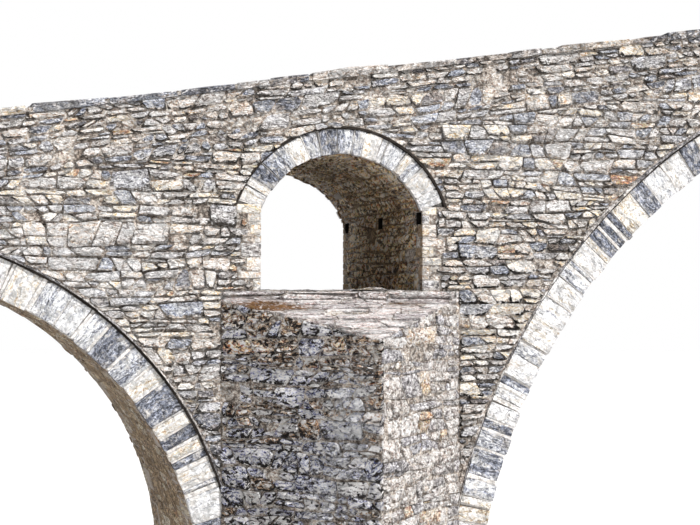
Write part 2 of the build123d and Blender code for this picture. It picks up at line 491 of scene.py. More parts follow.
def lay_courses(s_from, s_to, t_from, t_to, style, bounds=None, accents=(), level_ends=False):
    """Rough courses of stones between two levels, in beds that wander."""
    rnd = style.rnd
    beds = [t_from]
    while beds[-1] < t_to:
        beds.append(beds[-1] + rnd.uniform(*style.lift))
    if level_ends:
        scale = (t_to - t_from) / (beds[-1] - t_from)
        beds = [t_from + (b - t_from) * scale for b in beds]

    def bed(k, s):
        if k == 0 or (level_ends and k == len(beds) - 1):
            return beds[k]
        slow = noise.noise((s * 0.9, k * 5.3, style.phase))
        quick = noise.noise((s * 5.0, k * 3.1, style.phase + 9))
        return beds[k] + style.wander * (0.9 * slow + 0.6 * quick)

    stones = []
    for k in range(len(beds) - 1):
        s = s_from if level_ends else s_from - rnd.uniform(0, style.cell[0])
        low, high = s, s
        while s < s_to:
            width = rnd.uniform(*style.cell)
            s += width
            lean = rnd.uniform(-0.5, 0.5) * style.lean
            next_low, next_high = s - lean, s + lean
            if level_ends and s > s_to:
                s = next_low = next_high = s_to
                width = max(0.02, s_to - low)
            quad = [
                (low, bed(k, low)),
                (next_low, bed(k, next_low)),
                (next_high, bed(k + 1, next_high)),
                (high, bed(k + 1, high)),
            ]
            for corners in split_cell(quad, width, style):
                if style.loose or not level_ends:
                    corners = [warped(point, style) for point in corners]
                outline = dress(corners, style, bounds)
                if outline and rnd.random() > style.hollow:
                    stones.append(finish_stone(outline, style))
            low, high = next_low, next_high
    for s, t, tone in accents:
        near = min(range(len(stones)), key=lambda i: math.dist(middle(stones[i][0]), (s, t)))
        stones[near] = stones[near][:4] + (tone,)
    return stones


def draw_in(point, centre, width):
    """A point of an outline moved toward its middle, by no more than a set width each way."""
    moved = []
    for value, mid in zip(point, centre):
        d = value - mid
        moved.append(mid + math.copysign(max(abs(d) - width, 0.5 * abs(d)), d))
    return moved


def raise_stones(name, groups, material, worn=None, stains=()):
    """Make one piece of many stones. Each group is (stones, place, bed, turned)."""
    worn = worn or stonework().edge
    bm = bmesh.new()
    number = bm.faces.layers.int.new("stone")
    flat = bm.verts.layers.float_vector.new("grain")
    tone_layer = bm.verts.layers.float.new("tone")
    rim_shadow = bm.verts.layers.float.new("rim_shadow")
    listed = []
    for stones, place, bed, turned in groups:
        for stone in stones:
            phase = (len(listed) * 0.618) % 1 * 60
            verts = []
            for s, t in stone[0]:
                vert = bm.verts.new(place(s, t, bed))
                vert[flat] = (t, s, phase) if turned else (s, t, phase)
                vert[tone_layer] = stone[4]
                vert[rim_shadow] = 1
                verts.append(vert)
            bm.faces.new(verts)[number] = len(listed)
            listed.append((stone, place, middle(stone[0]), turned))
    raised = bmesh.ops.extrude_face_region(bm, geom=bm.faces[:], use_keep_orig=True)["geom"]
    tops = [g for g in raised if isinstance(g, bmesh.types.BMFace)]
    for face in tops:
        (_, rise, tilt_s, tilt_t, tone), place, centre, turned = listed[face[number]]
        for vert in face.verts:
            s, t, _ = vert[flat]
            if turned:
                s, t = t, s
            if tone < 1:
                s, t = draw_in((s, t), centre, worn)
            height = rise + tilt_s * (s - centre[0]) + tilt_t * (t - centre[1])
            vert.co = place(s, t, max(0.3 * rise, height))
            vert[flat] += Vector((0, rise + 0.01, 0))
        # The rim layer holds each stone's joint band and the painted shadow along its lower side.
        mark_rim_shadow(face, rim_shadow)
    bmesh.ops.recalc_face_normals(bm, faces=bm.faces)
    poked = bmesh.ops.poke(bm, faces=tops, offset=0.0, center_mode="MEAN_WEIGHTED")
    bm.normal_update()
    for vert in poked["verts"]:
        around = [edge.other_vert(vert) for edge in vert.link_edges]
        vert[flat] = sum((v[flat] for v in around), Vector()) / len(around)
        vert[tone_layer] = around[0][tone_layer]
        vert[rim_shadow] = 0
        size = sum((v.co - vert.co).length for v in around) / len(around)
        vert.co += vert.normal * size * 0.1 * ((vert[flat][2] * 0.37) % 1 - 0.2)
    return add_piece(name, bm, material, stains)


def mark_rim_shadow(face, rim_shadow):
    """Mark a stone's edge for the shader's joint band, wider along its lower side: a painted shadow under the
    stone.
    """
    levels = [vert.co.z for vert in face.verts]
    mid, half = (max(levels) + min(levels)) / 2, (max(levels) - min(levels)) / 2
    for vert in face.verts:
        under = 0.75
        if half > 0.011:
            under = 0.7 - 0.32 * max(-1.0, min(1.0, (vert.co.z - mid) / half))
        vert[rim_shadow] = 0.5 * under
        for edge in vert.link_edges:
            other = edge.other_vert(vert)
            if other[rim_shadow] == 1:
                other[rim_shadow] = under


def add_piece(name, bm, material, stains=()):
    """Store a mesh as a piece of the bridge. Stains are (layer, centre, radii, strength)."""
    layers = {key: bm.verts.layers.float.new(key) for key in ("moss", "lime")}
    for layer, centre, radii, strength in stains:
        for vert in bm.verts:
            d = sum(((vert.co[i] - centre[i]) / radii[i]) ** 2 for i in range(3))
            if d < 4:
                vert[layers[layer]] = min(1.0, vert[layers[layer]] + strength * math.exp(-d))
    mesh = bpy.data.meshes.new(name)
    bm.to_mesh(mesh)
    bm.free()
    piece = bpy.data.objects.new(name, mesh)
    bpy.context.scene.collection.objects.link(piece)
    mesh.materials.append(material)
    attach(piece, "root")
    return piece


# Materials.
def linear(*levels):
    """A colour written as it looks on screen, 0 to 255, in linear light."""
    values = [v / 255 for v in levels]
    return tuple(v / 12.92 if v <= 0.04045 else ((v + 0.055) / 1.055) ** 2.4 for v in values) + (1.0,)


def grey(level):
    return (level, level, level, 1.0)


class Shader:
    """A material and short ways to add nodes to it."""

    def __init__(self, name):
        self.material = bpy.data.materials.new(name)
        self.material.use_nodes = True
        self.tree = self.material.node_tree
        self.surface = self.tree.nodes["Principled BSDF"]
        self.place = self.node("ShaderNodeTexCoord").outputs["Object"]

    def node(self, kind, inputs=None, **settings):
        node = self.tree.nodes.new(kind)
        for key, value in settings.items():
            setattr(node, key, value)
        for key, value in (inputs or {}).items():
            self.fill(node.inputs[key], value)
        return node

    def fill(self, socket, value):
        """Link another node's output to a socket, or set a plain value."""
        if isinstance(value, bpy.types.NodeSocket):
            self.tree.links.new(value, socket)
        else:
            socket.default_value = value

    def attribute(self, name, output="Fac"):
        return self.node("ShaderNodeAttribute", attribute_name=name).outputs[output]

    def scaled(self, vector, scale):
        return self.node("ShaderNodeMapping", {"Vector": vector, "Scale": scale}).outputs["Vector"]

    def swirled(self, vector, reach):
        """A place moved a little by a slow noise, so that no pattern runs straight."""
        swirl = self.node("ShaderNodeTexNoise", {"Vector": self.place, "Scale": 16.0, "Detail": 3.0})
        return self.vector("MULTIPLY_ADD", swirl.outputs["Color"], reach, vector)

    def noise(self, vector, scale, detail=4.0, rough=0.55, distortion=0.0):
        inputs = {
            "Vector": vector,
            "Scale": scale,
            "Detail": detail,
            "Roughness": rough,
            "Distortion": distortion,
        }
        return self.node("ShaderNodeTexNoise", inputs).outputs["Fac"]

    def ramp(self, fac, *stops):
        node = self.node("ShaderNodeValToRGB", {"Fac": fac})
        marks = node.color_ramp.elements
        marks[0].position, marks[1].position = stops[0][0], stops[-1][0]
        marks[0].color, marks[1].color = stops[0][1], stops[-1][1]
        for position, colour in stops[1:-1]:
            marks.new(position).color = colour
        return node.outputs["Color"]

    def level(self, fac, low, high, to_low=0.0, to_high=1.0):
        inputs = {"Value": fac, "From Min": low, "From Max": high, "To Min": to_low, "To Max": to_high}
        return self.node("ShaderNodeMapRange", inputs).outputs["Result"]

    def mix(self, fac, a, b, blend="MIX"):
        node = self.node("ShaderNodeMix", {"Factor": fac}, data_type="RGBA", blend_type=blend)
        self.fill(node.inputs[6], a)
        self.fill(node.inputs[7], b)
        return node.outputs[2]

    def shade(self, share, colour, fac, *stops):
        """Darken and lighten a colour by a pattern. Each stop is (position, level of grey)."""
        return self.mix(share, colour, self.ramp(fac, *((at, grey(level)) for at, level in stops)), "OVERLAY")

    def math(self, operation, a, b=0.0):
        return self.node("ShaderNodeMath", {0: a, 1: b}, operation=operation).outputs[0]

    def add(self, a, b):
        return self.math("ADD", a, b)

    def times(self, a, b):
        return self.math("MULTIPLY", a, b)

    def vector(self, operation, a, b, c=None):
        inputs = {0: a, 1: b}
        if c is not None:
            inputs[2] = c
        return self.node("ShaderNodeVectorMath", inputs, operation=operation).outputs["Vector"]

    def facets(self, vector, counts, slope):
        """Chipped facets, so many to a metre each way: a random level for each, their heights and edges."""
        counts = (*counts, 1.0)[:3]
        flat = tuple(1 / c if i < 2 or c > 1 else 0.0 for i, c in enumerate(counts))
        scaled = self.scaled(vector, counts)
        cells = self.node("ShaderNodeTexVoronoi", {"Vector": scaled, "Scale": 1.0})
        edge = self.node("ShaderNodeTexVoronoi", {"Vector": scaled, "Scale": 1.0}, feature="DISTANCE_TO_EDGE")
        turn = self.vector("SUBTRACT", cells.outputs["Color"], (0.5, 0.5, 0.5))
        offset = self.vector("SUBTRACT", scaled, cells.outputs["Position"])
        offset = self.vector("MULTIPLY", offset, flat)
        height = self.node("ShaderNodeVectorMath", {0: offset, 1: turn}, operation="DOT_PRODUCT")
        level = self.node("ShaderNodeSeparateColor", {"Color": cells.outputs["Color"]}).outputs["Red"]
        return level, self.times(height.outputs["Value"], slope), edge.outputs["Distance"]

    def axes(self):
        """The place on the bridge as its parts X, Y and Z."""
        return self.node("ShaderNodeSeparateXYZ", {"Vector": self.place}).outputs

    def open_joints(self):
        """One where the joints are washed out and painted near-black as shade, nothing where they are filled
        with pale mortar.
        """
        return self.level(self.noise(self.place, 9.0, 4.0, 0.6), 0.43, 0.49)

    def strokes(self, vector, scale, spare=0.1, detail=5.0, blur=0.06):
        """Two masks of short streaks along the beds: dark ones and pale ones."""
        streak = self.noise(self.scaled(vector, scale), 1.0, detail, 0.62, 0.5)
        dark = self.level(streak, 0.5 + spare, 0.5 + spare + blur)
        return dark, self.level(streak, 0.5 - spare, 0.5 - spare - blur)

    def inside(self, reach):
        """One on what lies nearer the middle of the bridge than that reach, nothing on the faces."""
        return self.level(self.math("ABSOLUTE", self.axes()["Y"]), reach - 0.003, reach, 1.0, 0.0)

    def finish(self, colour, height, depth, rough_low=0.82, rough_high=0.97):
        grit = self.noise(self.place, 40.0, 3.0)
        rough = self.level(grit, 0.3, 0.7, rough_low, rough_high)
        bump = self.node("ShaderNodeBump", {"Height": height, "Distance": depth, "Strength": 1.0})
        self.fill(self.surface.inputs["Base Color"], colour)
        self.fill(self.surface.inputs["Roughness"], rough)
        self.fill(self.surface.inputs["Normal"], bump.outputs["Normal"])
        self.fill(self.surface.inputs["Specular IOR Level"], 0.25)
        return self.material


# Colours of dirt, lime, joints and mortar, as they look, and of painted shade and highlights.
LIME_SMEAR = linear(229, 224, 218)
LIME_STREAK = linear(236, 230, 224)
LIME_STAIN = linear(232, 232, 234)
# Painted highlight: pale specks standing in for lit bumps, partly grain.
SPECK_HIGHLIGHT = linear(242, 239, 238)
RUST = linear(186, 156, 126)
CRACK = linear(66, 57, 50)
DIRT = linear(70, 62, 55)
DARK_STREAK = linear(58, 50, 44)
# Painted shade: dark pits, partly grain.
PIT_SHADE = linear(40, 35, 34)
# Painted shade in the depth of a washed-out joint.
OPEN_JOINT_SHADE = linear(24, 20, 17)
MORTAR_CRACK = linear(60, 52, 45)
# Painted shade in the hollows of washed-out mortar.
MORTAR_HOLLOW_SHADE = linear(46, 39, 34)
# Painted shade on the mortar under the rings.
INNER_MORTAR_SHADE = linear(110, 88, 66)
# Painted shade in the gap between a ring and its hood.
HOOD_GAP_SHADE = linear(50, 44, 40)
# Painted shade inside the beam sockets.
SOCKET_SHADE = linear(24, 20, 16)
STRIP_MORTAR = linear(240, 238, 238)
MOSS = (0.35, linear(78, 56, 32)), (0.55, linear(128, 92, 60)), (0.7, linear(112, 100, 52))


def stone_material(
    name,
    palette,
    chips=(10.0, 19.0),
    lime=0.55,
    dirt=0.4,
    cracks=0.45,
    marble=0.0,
    inside=0.0,
    inner=(168, 140, 110),
    relief=1.0,
    streaks=(0.8, 0.4),
    streak_scale=(17.0, 85.0, 1.0),
    joints=1.0,
    filling=(206, 196, 187),
    grains=0.75,
    pit_shade_and_speck_highlight=(0.65, 0.7),
    pit_size=30.0,
    spare=0.1,
):
    """Split stone: a tone for each stone, chipped facets, strata, streaks, grit and smears of lime mortar.

    Streaks and pits are the strengths of the dark and of the pale ones, and spare is how few pits there are.
    Dark pits and pale specks are partly grain and partly painted shade and highlights, standing in for the
    light on small bumps.
    What lies nearer the middle of the bridge than inside, on reveals and under rings, is tinted with inner:
    painted shade.
    """
    m = Shader(name)
    tone = m.attribute("tone")
    swirled = m.swirled(m.attribute("grain", "Vector"), (0.035, 0.03, 0.0))
    coarse, facets, edge = m.facets(swirled, chips, 1.3)
    fine, small_facets, _ = m.facets(swirled, (chips[0] * 2.7, chips[1] * 2.7), 1.7)
    strata = m.noise(m.scaled(swirled, (8.0, 62.0, 1.0)), 1.0, 5.0, 0.7, 0.8)
    clouds = m.noise(m.place, 13.0, 5.0, 0.6, 0.3)
    grit = m.noise(m.place, 120.0, 5.0, 0.75)
    lumps = m.noise(m.place, 45.0, 5.0, 0.65)
    fine_grain = m.noise(m.scaled(swirled, (52.0, 92.0, 1.0)), 1.0, 2.0, 0.6, 0.6)
    shift = m.level(coarse, 0.0, 1.0, -0.045, 0.045)
    if marble:
        veins = m.noise(m.scaled(swirled, (3.5, 24.0, 1.0)), 1.0, 6.0, 0.62, 1.0)
        shift = m.level(veins, 0.3, 0.7, -marble, marble)
    colour = m.ramp(m.add(tone, shift), *palette)
    colour = m.shade(0.65, colour, strata, (0.32, 0.16), (0.5, 0.55), (0.68, 0.88))
    colour = m.shade(0.45, colour, clouds, (0.25, 0.32), (0.75, 0.7))
    colour = m.shade(0.8, colour, fine, (0.0, 0.26), (1.0, 0.78))
    colour = m.shade(0.7, colour, grit, (0.36, 0.12), (0.64, 0.88))
    colour = m.shade(grains, colour, fine_grain, (0.4, 0.06), (0.5, 0.5), (0.6, 0.94))
    crack = m.times(m.level(edge, 0.01, 0.06, cracks, 0.0), m.level(m.noise(m.place, 6.0, 2.0), 0.44, 0.54))
    crack = m.times(crack, 1 - marble)
    colour = weathered(m, colour, swirled, crack, lime, dirt, streaks, streak_scale)
    colour = jointed(m, colour, m.shade(0.6, linear(*filling), fine_grain, (0.4, 0.1), (0.6, 0.9)), joints)
    # Dark pits and pale specks: partly grain, partly painted shade and highlights of small bumps.
    pit, spot = m.strokes(swirled, (pit_size, 1.6 * pit_size, 1.0), spare, 3.0, 0.025)
    colour = m.mix(m.times(spot, pit_shade_and_speck_highlight[1]), colour, SPECK_HIGHLIGHT)
    colour = m.mix(m.times(pit, pit_shade_and_speck_highlight[0]), colour, PIT_SHADE)
    colour = stained(m, colour, clouds, lumps)
    if marble:
        colour = m.mix(m.level(tone, 0.985, 0.995), colour, m.mix(0.35, STRIP_MORTAR, colour))
    if inside:
        # Painted shade on reveals and under rings.
        colour = m.mix(m.inside(inside), colour, m.mix(1.0, colour, linear(*inner), "MULTIPLY"))
    height = m.add(m.add(facets, small_facets), m.level(crack, 0.0, 1.0, 0.0, -0.006))
    height = m.add(height, m.add(m.times(lumps, 0.016), m.times(strata, 0.006)))
    height = m.add(height, m.add(m.times(grit, 0.0035), m.times(fine_grain, 0.018)))
    return m.finish(colour, height, relief)


def weathered(m, colour, swirled, crack, lime, dirt, streaks, streak_scale):
    """What the weather leaves on a stone: rust, smears of lime, cracks, dirt and streaks along the grain."""
    rust = m.level(m.noise(m.place, 5.0, 4.0, 0.6, 0.5), 0.6, 0.72, 0.0, 0.35)
    colour = m.mix(rust, colour, RUST, "MULTIPLY")
    smear = m.level(m.noise(m.place, 19.0, 6.0, 0.7, 0.5), 0.53, 0.63)
    colour = m.mix(m.times(smear, lime), colour, LIME_SMEAR)
    colour = m.mix(crack, colour, CRACK)
    speck = m.level(m.noise(m.place, 38.0, 6.0, 0.75, 0.3), 0.59, 0.67)
    colour = m.mix(m.times(speck, dirt), colour, DIRT)
    dark, pale = m.strokes(swirled, streak_scale)
    colour = m.mix(m.times(pale, streaks[1]), colour, LIME_STREAK)
    return m.mix(m.times(dark, streaks[0]), colour, DARK_STREAK)


def jointed(m, colour, mortar, joints):
    """Draw the ragged joint round each stone, filled with mortar or washed out and painted near-black as
    shade. The band is wider along each stone's lower side, a painted shadow.
    """
    ragged = m.level(m.noise(m.place, 42.0, 4.0, 0.7), 0.3, 0.7, -0.12, 0.12)
    washed_out = m.times(m.open_joints(), m.level(m.attribute("lime"), 0.0, 0.6, 1.0, 0.55))
    ragged = m.add(ragged, m.times(washed_out, 0.05))
    # The joint band, with its painted shadow under each stone.
    rim_shadow = m.level(m.add(m.attribute("rim_shadow"), ragged), 0.37, 0.42, 0.0, joints)
    return m.mix(rim_shadow, colour, m.mix(washed_out, mortar, OPEN_JOINT_SHADE))


def stained(m, colour, clouds, lumps):
    """The moss and the lime that a piece's stains place on it."""
    moss = m.times(m.attribute("moss"), m.level(lumps, 0.35, 0.6, 0.35, 1.4))
    colour = m.mix(m.level(moss, 0.15, 0.8), colour, m.ramp(clouds, *MOSS))
    white = m.times(m.attribute("lime"), m.level(m.noise(m.place, 26.0, 6.0, 0.7, 0.8), 0.38, 0.62))
    return m.mix(m.level(white, 0.1, 0.7, 0.0, 0.85), colour, LIME_STAIN)


def mortar_material(name, colours, hollows=0.75, inside=0.0, relief=1.0, sockets=0.0, ring=None):
    """Lime mortar between stones: sandy, full of chips and dirty in places; where it is washed out, painted
    shade darkens its hollows.
    """
    m = Shader(name)
    dark, mid, pale = (linear(*colour) for colour in colours)
    swirled = m.swirled(m.place, (0.03, 0.03, 0.03))
    chip, facets, edge = m.facets(swirled, (30.0, 30.0, 46.0), 0.8)
    clouds = m.noise(m.place, 7.0, 6.0, 0.62, 0.3)
    sand = m.noise(m.place, 150.0, 4.0, 0.75)
    lumps = m.noise(m.place, 38.0, 5.0, 0.65)
    grains = m.noise(m.scaled(swirled, (60.0, 60.0, 90.0)), 1.0, 2.0, 0.6, 0.6)
    mottled = m.add(clouds, m.level(chip, 0.0, 1.0, -0.12, 0.12))
    colour = m.ramp(mottled, (0.3, dark), (0.5, mid), (0.68, pale))
    smear = m.level(m.noise(m.place, 19.0, 6.0, 0.7, 0.5), 0.52, 0.62, 0.0, 0.8)
    colour = m.mix(smear, colour, pale)
    colour = m.shade(0.6, colour, sand, (0.3, 0.25), (0.7, 0.75))
    colour = m.shade(0.7, colour, grains, (0.4, 0.08), (0.6, 0.92))
    colour = m.mix(m.level(edge, 0.02, 0.1, 0.4 * hollows, 0.0), colour, MORTAR_CRACK)
    streak, _ = m.strokes(swirled, (17.0, 17.0, 85.0))
    colour = m.mix(m.times(streak, hollows), colour, DARK_STREAK)
    # Painted shade in the hollows of washed-out mortar.
    hollow = m.times(m.open_joints(), m.level(lumps, 0.42, 0.55, hollows, 0.3 * hollows))
    colour = m.mix(hollow, colour, MORTAR_HOLLOW_SHADE)
    if inside:
        # Painted shade on the mortar under the rings.
        colour = m.mix(m.inside(inside), colour, m.mix(0.6, colour, INNER_MORTAR_SHADE))
    if ring:
        # Painted shade in the gap between a ring and its hood.
        colour = m.mix(within_ring(m, *ring), colour, HOOD_GAP_SHADE)
    if sockets:
        # Painted shade inside the beam sockets.
        colour = m.mix(in_socket_shade(m, sockets), colour, SOCKET_SHADE)
    height = m.add(m.add(facets, m.times(lumps, 0.02)), m.times(sand, 0.004))
    return m.finish(colour, height, relief, 0.9, 1.0)


def within_ring(m, x, z, radius):
    """One within a circle on either half of the bridge, nothing outside it."""
    axes = m.axes()
    off = m.math("SUBTRACT", m.math("ABSOLUTE", axes["X"]), x)
    up = m.math("SUBTRACT", axes["Z"], z)
    reach = m.math("POWER", m.add(m.times(off, off), m.times(up, up)), 0.5)
    return m.level(reach, radius, radius + 0.003, 1.0, 0.0)


def in_socket_shade(m, reach):
    """One in the depth of the beam sockets, nearer the middle of the bridge than that reach: there the
    sockets are painted dark as shade.
    """
    axes = m.axes()
    half = sizes().window_width / 2
    off = m.math("ABSOLUTE", m.math("SUBTRACT", m.math("ABSOLUTE", axes["X"]), pier_x()))
    beside = m.level(off, half + 0.004, half + 0.012)
    beside = m.times(beside, m.level(off, half + 0.15, half + 0.16, 1.0, 0.0))
    deep = m.level(m.math("ABSOLUTE", axes["Y"]), reach, reach + 0.002, 1.0, 0.0)
    over_sill = m.level(axes["Z"], window_sill() - 0.01, window_sill())
    return m.times(m.times(beside, deep), over_sill)


WALL_PALETTE = (
    (0.0, linear(122, 110, 101)),
    (0.1, linear(124, 127, 138)),
    (0.22, linear(166, 170, 181)),
    (0.36, linear(190, 187, 187)),
    (0.5, linear(212, 205, 200)),
    (0.64, linear(225, 213, 203)),
    (0.76, linear(240, 226, 204)),
    (0.86, linear(244, 240, 236)),
    (0.93, linear(216, 190, 160)),
    (1.0, linear(192, 150, 116)),
)
SHADED_PALETTE = (
    (0.0, linear(140, 112, 90)),
    (0.12, linear(176, 152, 128)),
    (0.25, linear(142, 145, 164)),
    (0.4, linear(188, 190, 208)),
    (0.55, linear(214, 214, 228)),
    (0.7, linear(232, 230, 234)),
    (0.85, linear(238, 234, 230)),
    (1.0, linear(192, 156, 124)),
)
STRATA_PALETTE = (
    (0.0, linear(150, 142, 144)),
    (0.36, linear(184, 176, 178)),
    (0.5, linear(212, 202, 201)),
    (0.7, linear(224, 213, 210)),
    (0.86, linear(236, 228, 226)),
    (1.0, linear(214, 198, 188)),
)
SUNLIT_PALETTE = (
    (0.0, linear(142, 135, 131)),
    (0.22, linear(162, 162, 170)),
    (0.5, linear(188, 183, 183)),
    (0.7, linear(200, 191, 185)),
    (0.86, linear(216, 210, 207)),
    (1.0, linear(204, 176, 146)),
)
RING_PALETTE = (
    (0.0, linear(96, 100, 112)),
    (0.2, linear(128, 132, 144)),
    (0.35, linear(180, 182, 189)),
    (0.5, linear(217, 218, 221)),
    (0.7, linear(238, 237, 238)),
    (0.85, linear(234, 228, 220)),
    (1.0, linear(220, 207, 190)),
)
BROWN_PALETTE = (
    (0.0, linear(134, 113, 90)),
    (0.4, linear(164, 142, 115)),
    (0.7, linear(188, 167, 138)),
    (0.9, linear(192, 182, 166)),
    (1.0, linear(160, 122, 88)),
)
PASSAGE_PALETTE = (
    (0.0, linear(178, 142, 99)),
    (0.4, linear(231, 194, 142)),
    (0.7, linear(252, 220, 171)),
    (0.9, linear(252, 235, 202)),
    (1.0, linear(218, 167, 113)),
)
SLAB_PALETTE = (
    (0.0, linear(104, 100, 101)),
    (0.3, linear(146, 144, 147)),
    (0.6, linear(184, 178, 173)),
    (1.0, linear(218, 208, 200)),
)

# Colours of the mortars, from dark to pale, as they look.
WALL_MORTAR = ((150, 137, 126), (196, 185, 175), (226, 219, 212))
HOOD_MORTAR = ((150, 137, 126), (190, 179, 170), (216, 209, 202))
RING_MORTAR = ((176, 168, 160), (222, 217, 212), (242, 239, 236))
VAULT_MORTAR = ((104, 84, 62), (150, 127, 99), (178, 158, 130))
CORE_MORTAR = ((96, 84, 72), (140, 126, 110), (180, 168, 150))


def stone_finishes():
    """How each kind of stone looks."""
    half_width = sizes().half_width
    return {
        "wall_rubble": {"palette": WALL_PALETTE},
        # The shaded flank's copy of the rubble: stronger contrast, and painted pale specks for the bumps that
        # light would catch.
        "shaded_flank_rubble": {
            "palette": SHADED_PALETTE,
            "lime": 0.5,
            "dirt": 0.6,
            "cracks": 0.6,
            "relief": 1.5,
            "streaks": (0.9, 0.8),
            "filling": (190, 188, 198),
            "grains": 1.0,
            "pit_shade_and_speck_highlight": (1.0, 0.95),
            "pit_size": 27.0,
            "spare": 0.05,
        },
        # The sunlit flank's copy: its palest colours toned down and less contrast, for the sun on it.
        "sunlit_rubble": {
            "palette": SUNLIT_PALETTE,
            "chips": (14.0, 14.0),
            "lime": 0.6,
            "dirt": 0.3,
            "streaks": (0.6, 0.5),
            "streak_scale": (40.0, 22.0, 1.0),
            "joints": 0.5,
            "spare": 0.08,
        },
        "jamb_blocks": {
            "palette": WALL_PALETTE,
            "lime": 1.0,
            "dirt": 0.15,
            # The reveals are tinted browner: painted shade, and partly their own colour.
            "inside": half_width + 0.001,
            "inner": (206, 188, 166),
            "streaks": (0.35, 0.7),
            "pit_shade_and_speck_highlight": (0.2, 0.7),
        },
        "ring_marble": {
            "palette": RING_PALETTE,
            "chips": (16.0, 16.0),
            "lime": 0.75,
            "dirt": 0.25,
            "cracks": 0.3,
            "marble": 0.27,
            # The ring stones' undersides are tinted as painted shade.
            "inside": half_width - sizes().ring_recess,
            "relief": 0.7,
            "streaks": (0.4, 0.4),
            "joints": 0.12,
            "pit_shade_and_speck_highlight": (0.2, 0.35),
        },
        "brown_rubble": {
            "palette": BROWN_PALETTE,
            "lime": 0.3,
            "dirt": 0.6,
            "streaks": (0.7, 0.2),
            "joints": 0.4,
            "filling": (158, 136, 110),
            "pit_shade_and_speck_highlight": (0.7, 0.3),
        },
        "passage_rubble": {
            "palette": PASSAGE_PALETTE,
            "lime": 0.35,
            "streaks": (0.8, 0.3),
            "joints": 0.2,
            "filling": (190, 164, 130),
            "pit_shade_and_speck_highlight": (0.8, 0.6),
            "pit_size": 19.0,
            "spare": 0.04,
        },
        "split_slab": {
            "palette": SLAB_PALETTE,
            "chips": (8.0, 22.0),
            "lime": 0.45,
            "dirt": 0.3,
            "streaks": (0.6, 0.35),
            "joints": 0.5,
        },
        "pale_slab": {
            "palette": WALL_PALETTE,
            "chips": (8.0, 22.0),
            "lime": 0.5,
            "dirt": 0.25,
            "streaks": (0.6, 0.4),
            "joints": 0.5,
        },
        "strata_slab": {
            "palette": STRATA_PALETTE,
            "chips": (6.0, 26.0),
            "lime": 0.6,
            "dirt": 0.3,
            "streaks": (0.8, 0.9),
            "streak_scale": (6.0, 22.0, 1.0),
            "joints": 0.6,
        },
        "hood_slab": {
            "palette": SLAB_PALETTE,
            "chips": (8.0, 22.0),
            "lime": 0.45,
            "dirt": 0.3,
            "streaks": (0.4, 0.4),
            "joints": 0.15,
        },
        "worn_paving": {
            "palette": SLAB_PALETTE,
            "chips": (14.0, 14.0),
            "lime": 0.4,
            "cracks": 0.4,
            "relief": 0.6,
        },
    }


def mortar_finishes():
    """How the mortar of each kind of solid looks."""
    z = sizes()
    # Each hood's bed is painted dark as shade within these radii, the gap over its ring.
    beds = {
        "main": (0.0, z.main_springing, z.main_radius + z.main_ring + 0.2 * z.hood),
        "side": (side_x(), side_springing(), z.side_radius + z.side_ring + 0.3 * z.hood),
        "window": (pier_x(), window_centre(), window_radius() + z.window_ring + 0.3 * z.hood),
    }
    finishes = {f"{arch}_hood_bed": {"colours": HOOD_MORTAR, "ring": ring} for arch, ring in beds.items()}
    return finishes | {
        "wall_mortar": {"colours": WALL_MORTAR, "sockets": z.half_width + FACE_BED},
        "ring_mortar": {
            "colours": RING_MORTAR,
            "hollows": 0.2,
            "inside": z.half_width - z.ring_recess - 0.004,
            "relief": 0.5,
        },
        "vault_mortar": {"colours": VAULT_MORTAR, "hollows": 0.4},
        "lining_mortar": {"colours": VAULT_MORTAR, "hollows": 0.4, "sockets": z.half_width},
        "core_rubble": {"colours": CORE_MORTAR},
    }


@cache
def material(name):
    """A material of the bridge, made when it is first asked for."""
    stones = stone_finishes()
    if name in stones:
        return stone_material(name, **stones[name])
    return mortar_material(name, **mortar_finishes()[name])


# Places on the bridge. Each turns a flat place (along, up) and a relief into a point.
def on_face(side):
    """On the front face, side -1, or on the back face, side 1."""
    half = sizes().half_width
    return lambda s, t, h: Vector((s, side * (half + h), t))


def on_plane(origin, along, up, normal):
    origin, along, up, normal = map(Vector, (origin, along, up, normal))
    return lambda s, t, h: origin + along * s + up * t + normal * h


def on_ring(x, z, radius, side, face):
    """On an arch's ring: s is the length along a circle of that radius, t the distance from its centre."""

    def place(s, t, h):
        a = s / radius
        return Vector((x + t * math.cos(a), side * (face + h), z + t * math.sin(a)))

    return place


def under_arch(x, z, radius):
    """On an arch's underside: s runs across the bridge and t along the arch."""

    def place(s, t, h):
        a = t / radius
        return Vector((x + (radius - h) * math.cos(a), s, z + (radius - h) * math.sin(a)))

    return place


def on_deck(rise):
    """On the roadway: s runs along the bridge and t across it."""
    return lambda s, t, h: Vector((s, t, deck(s) + rise + h))


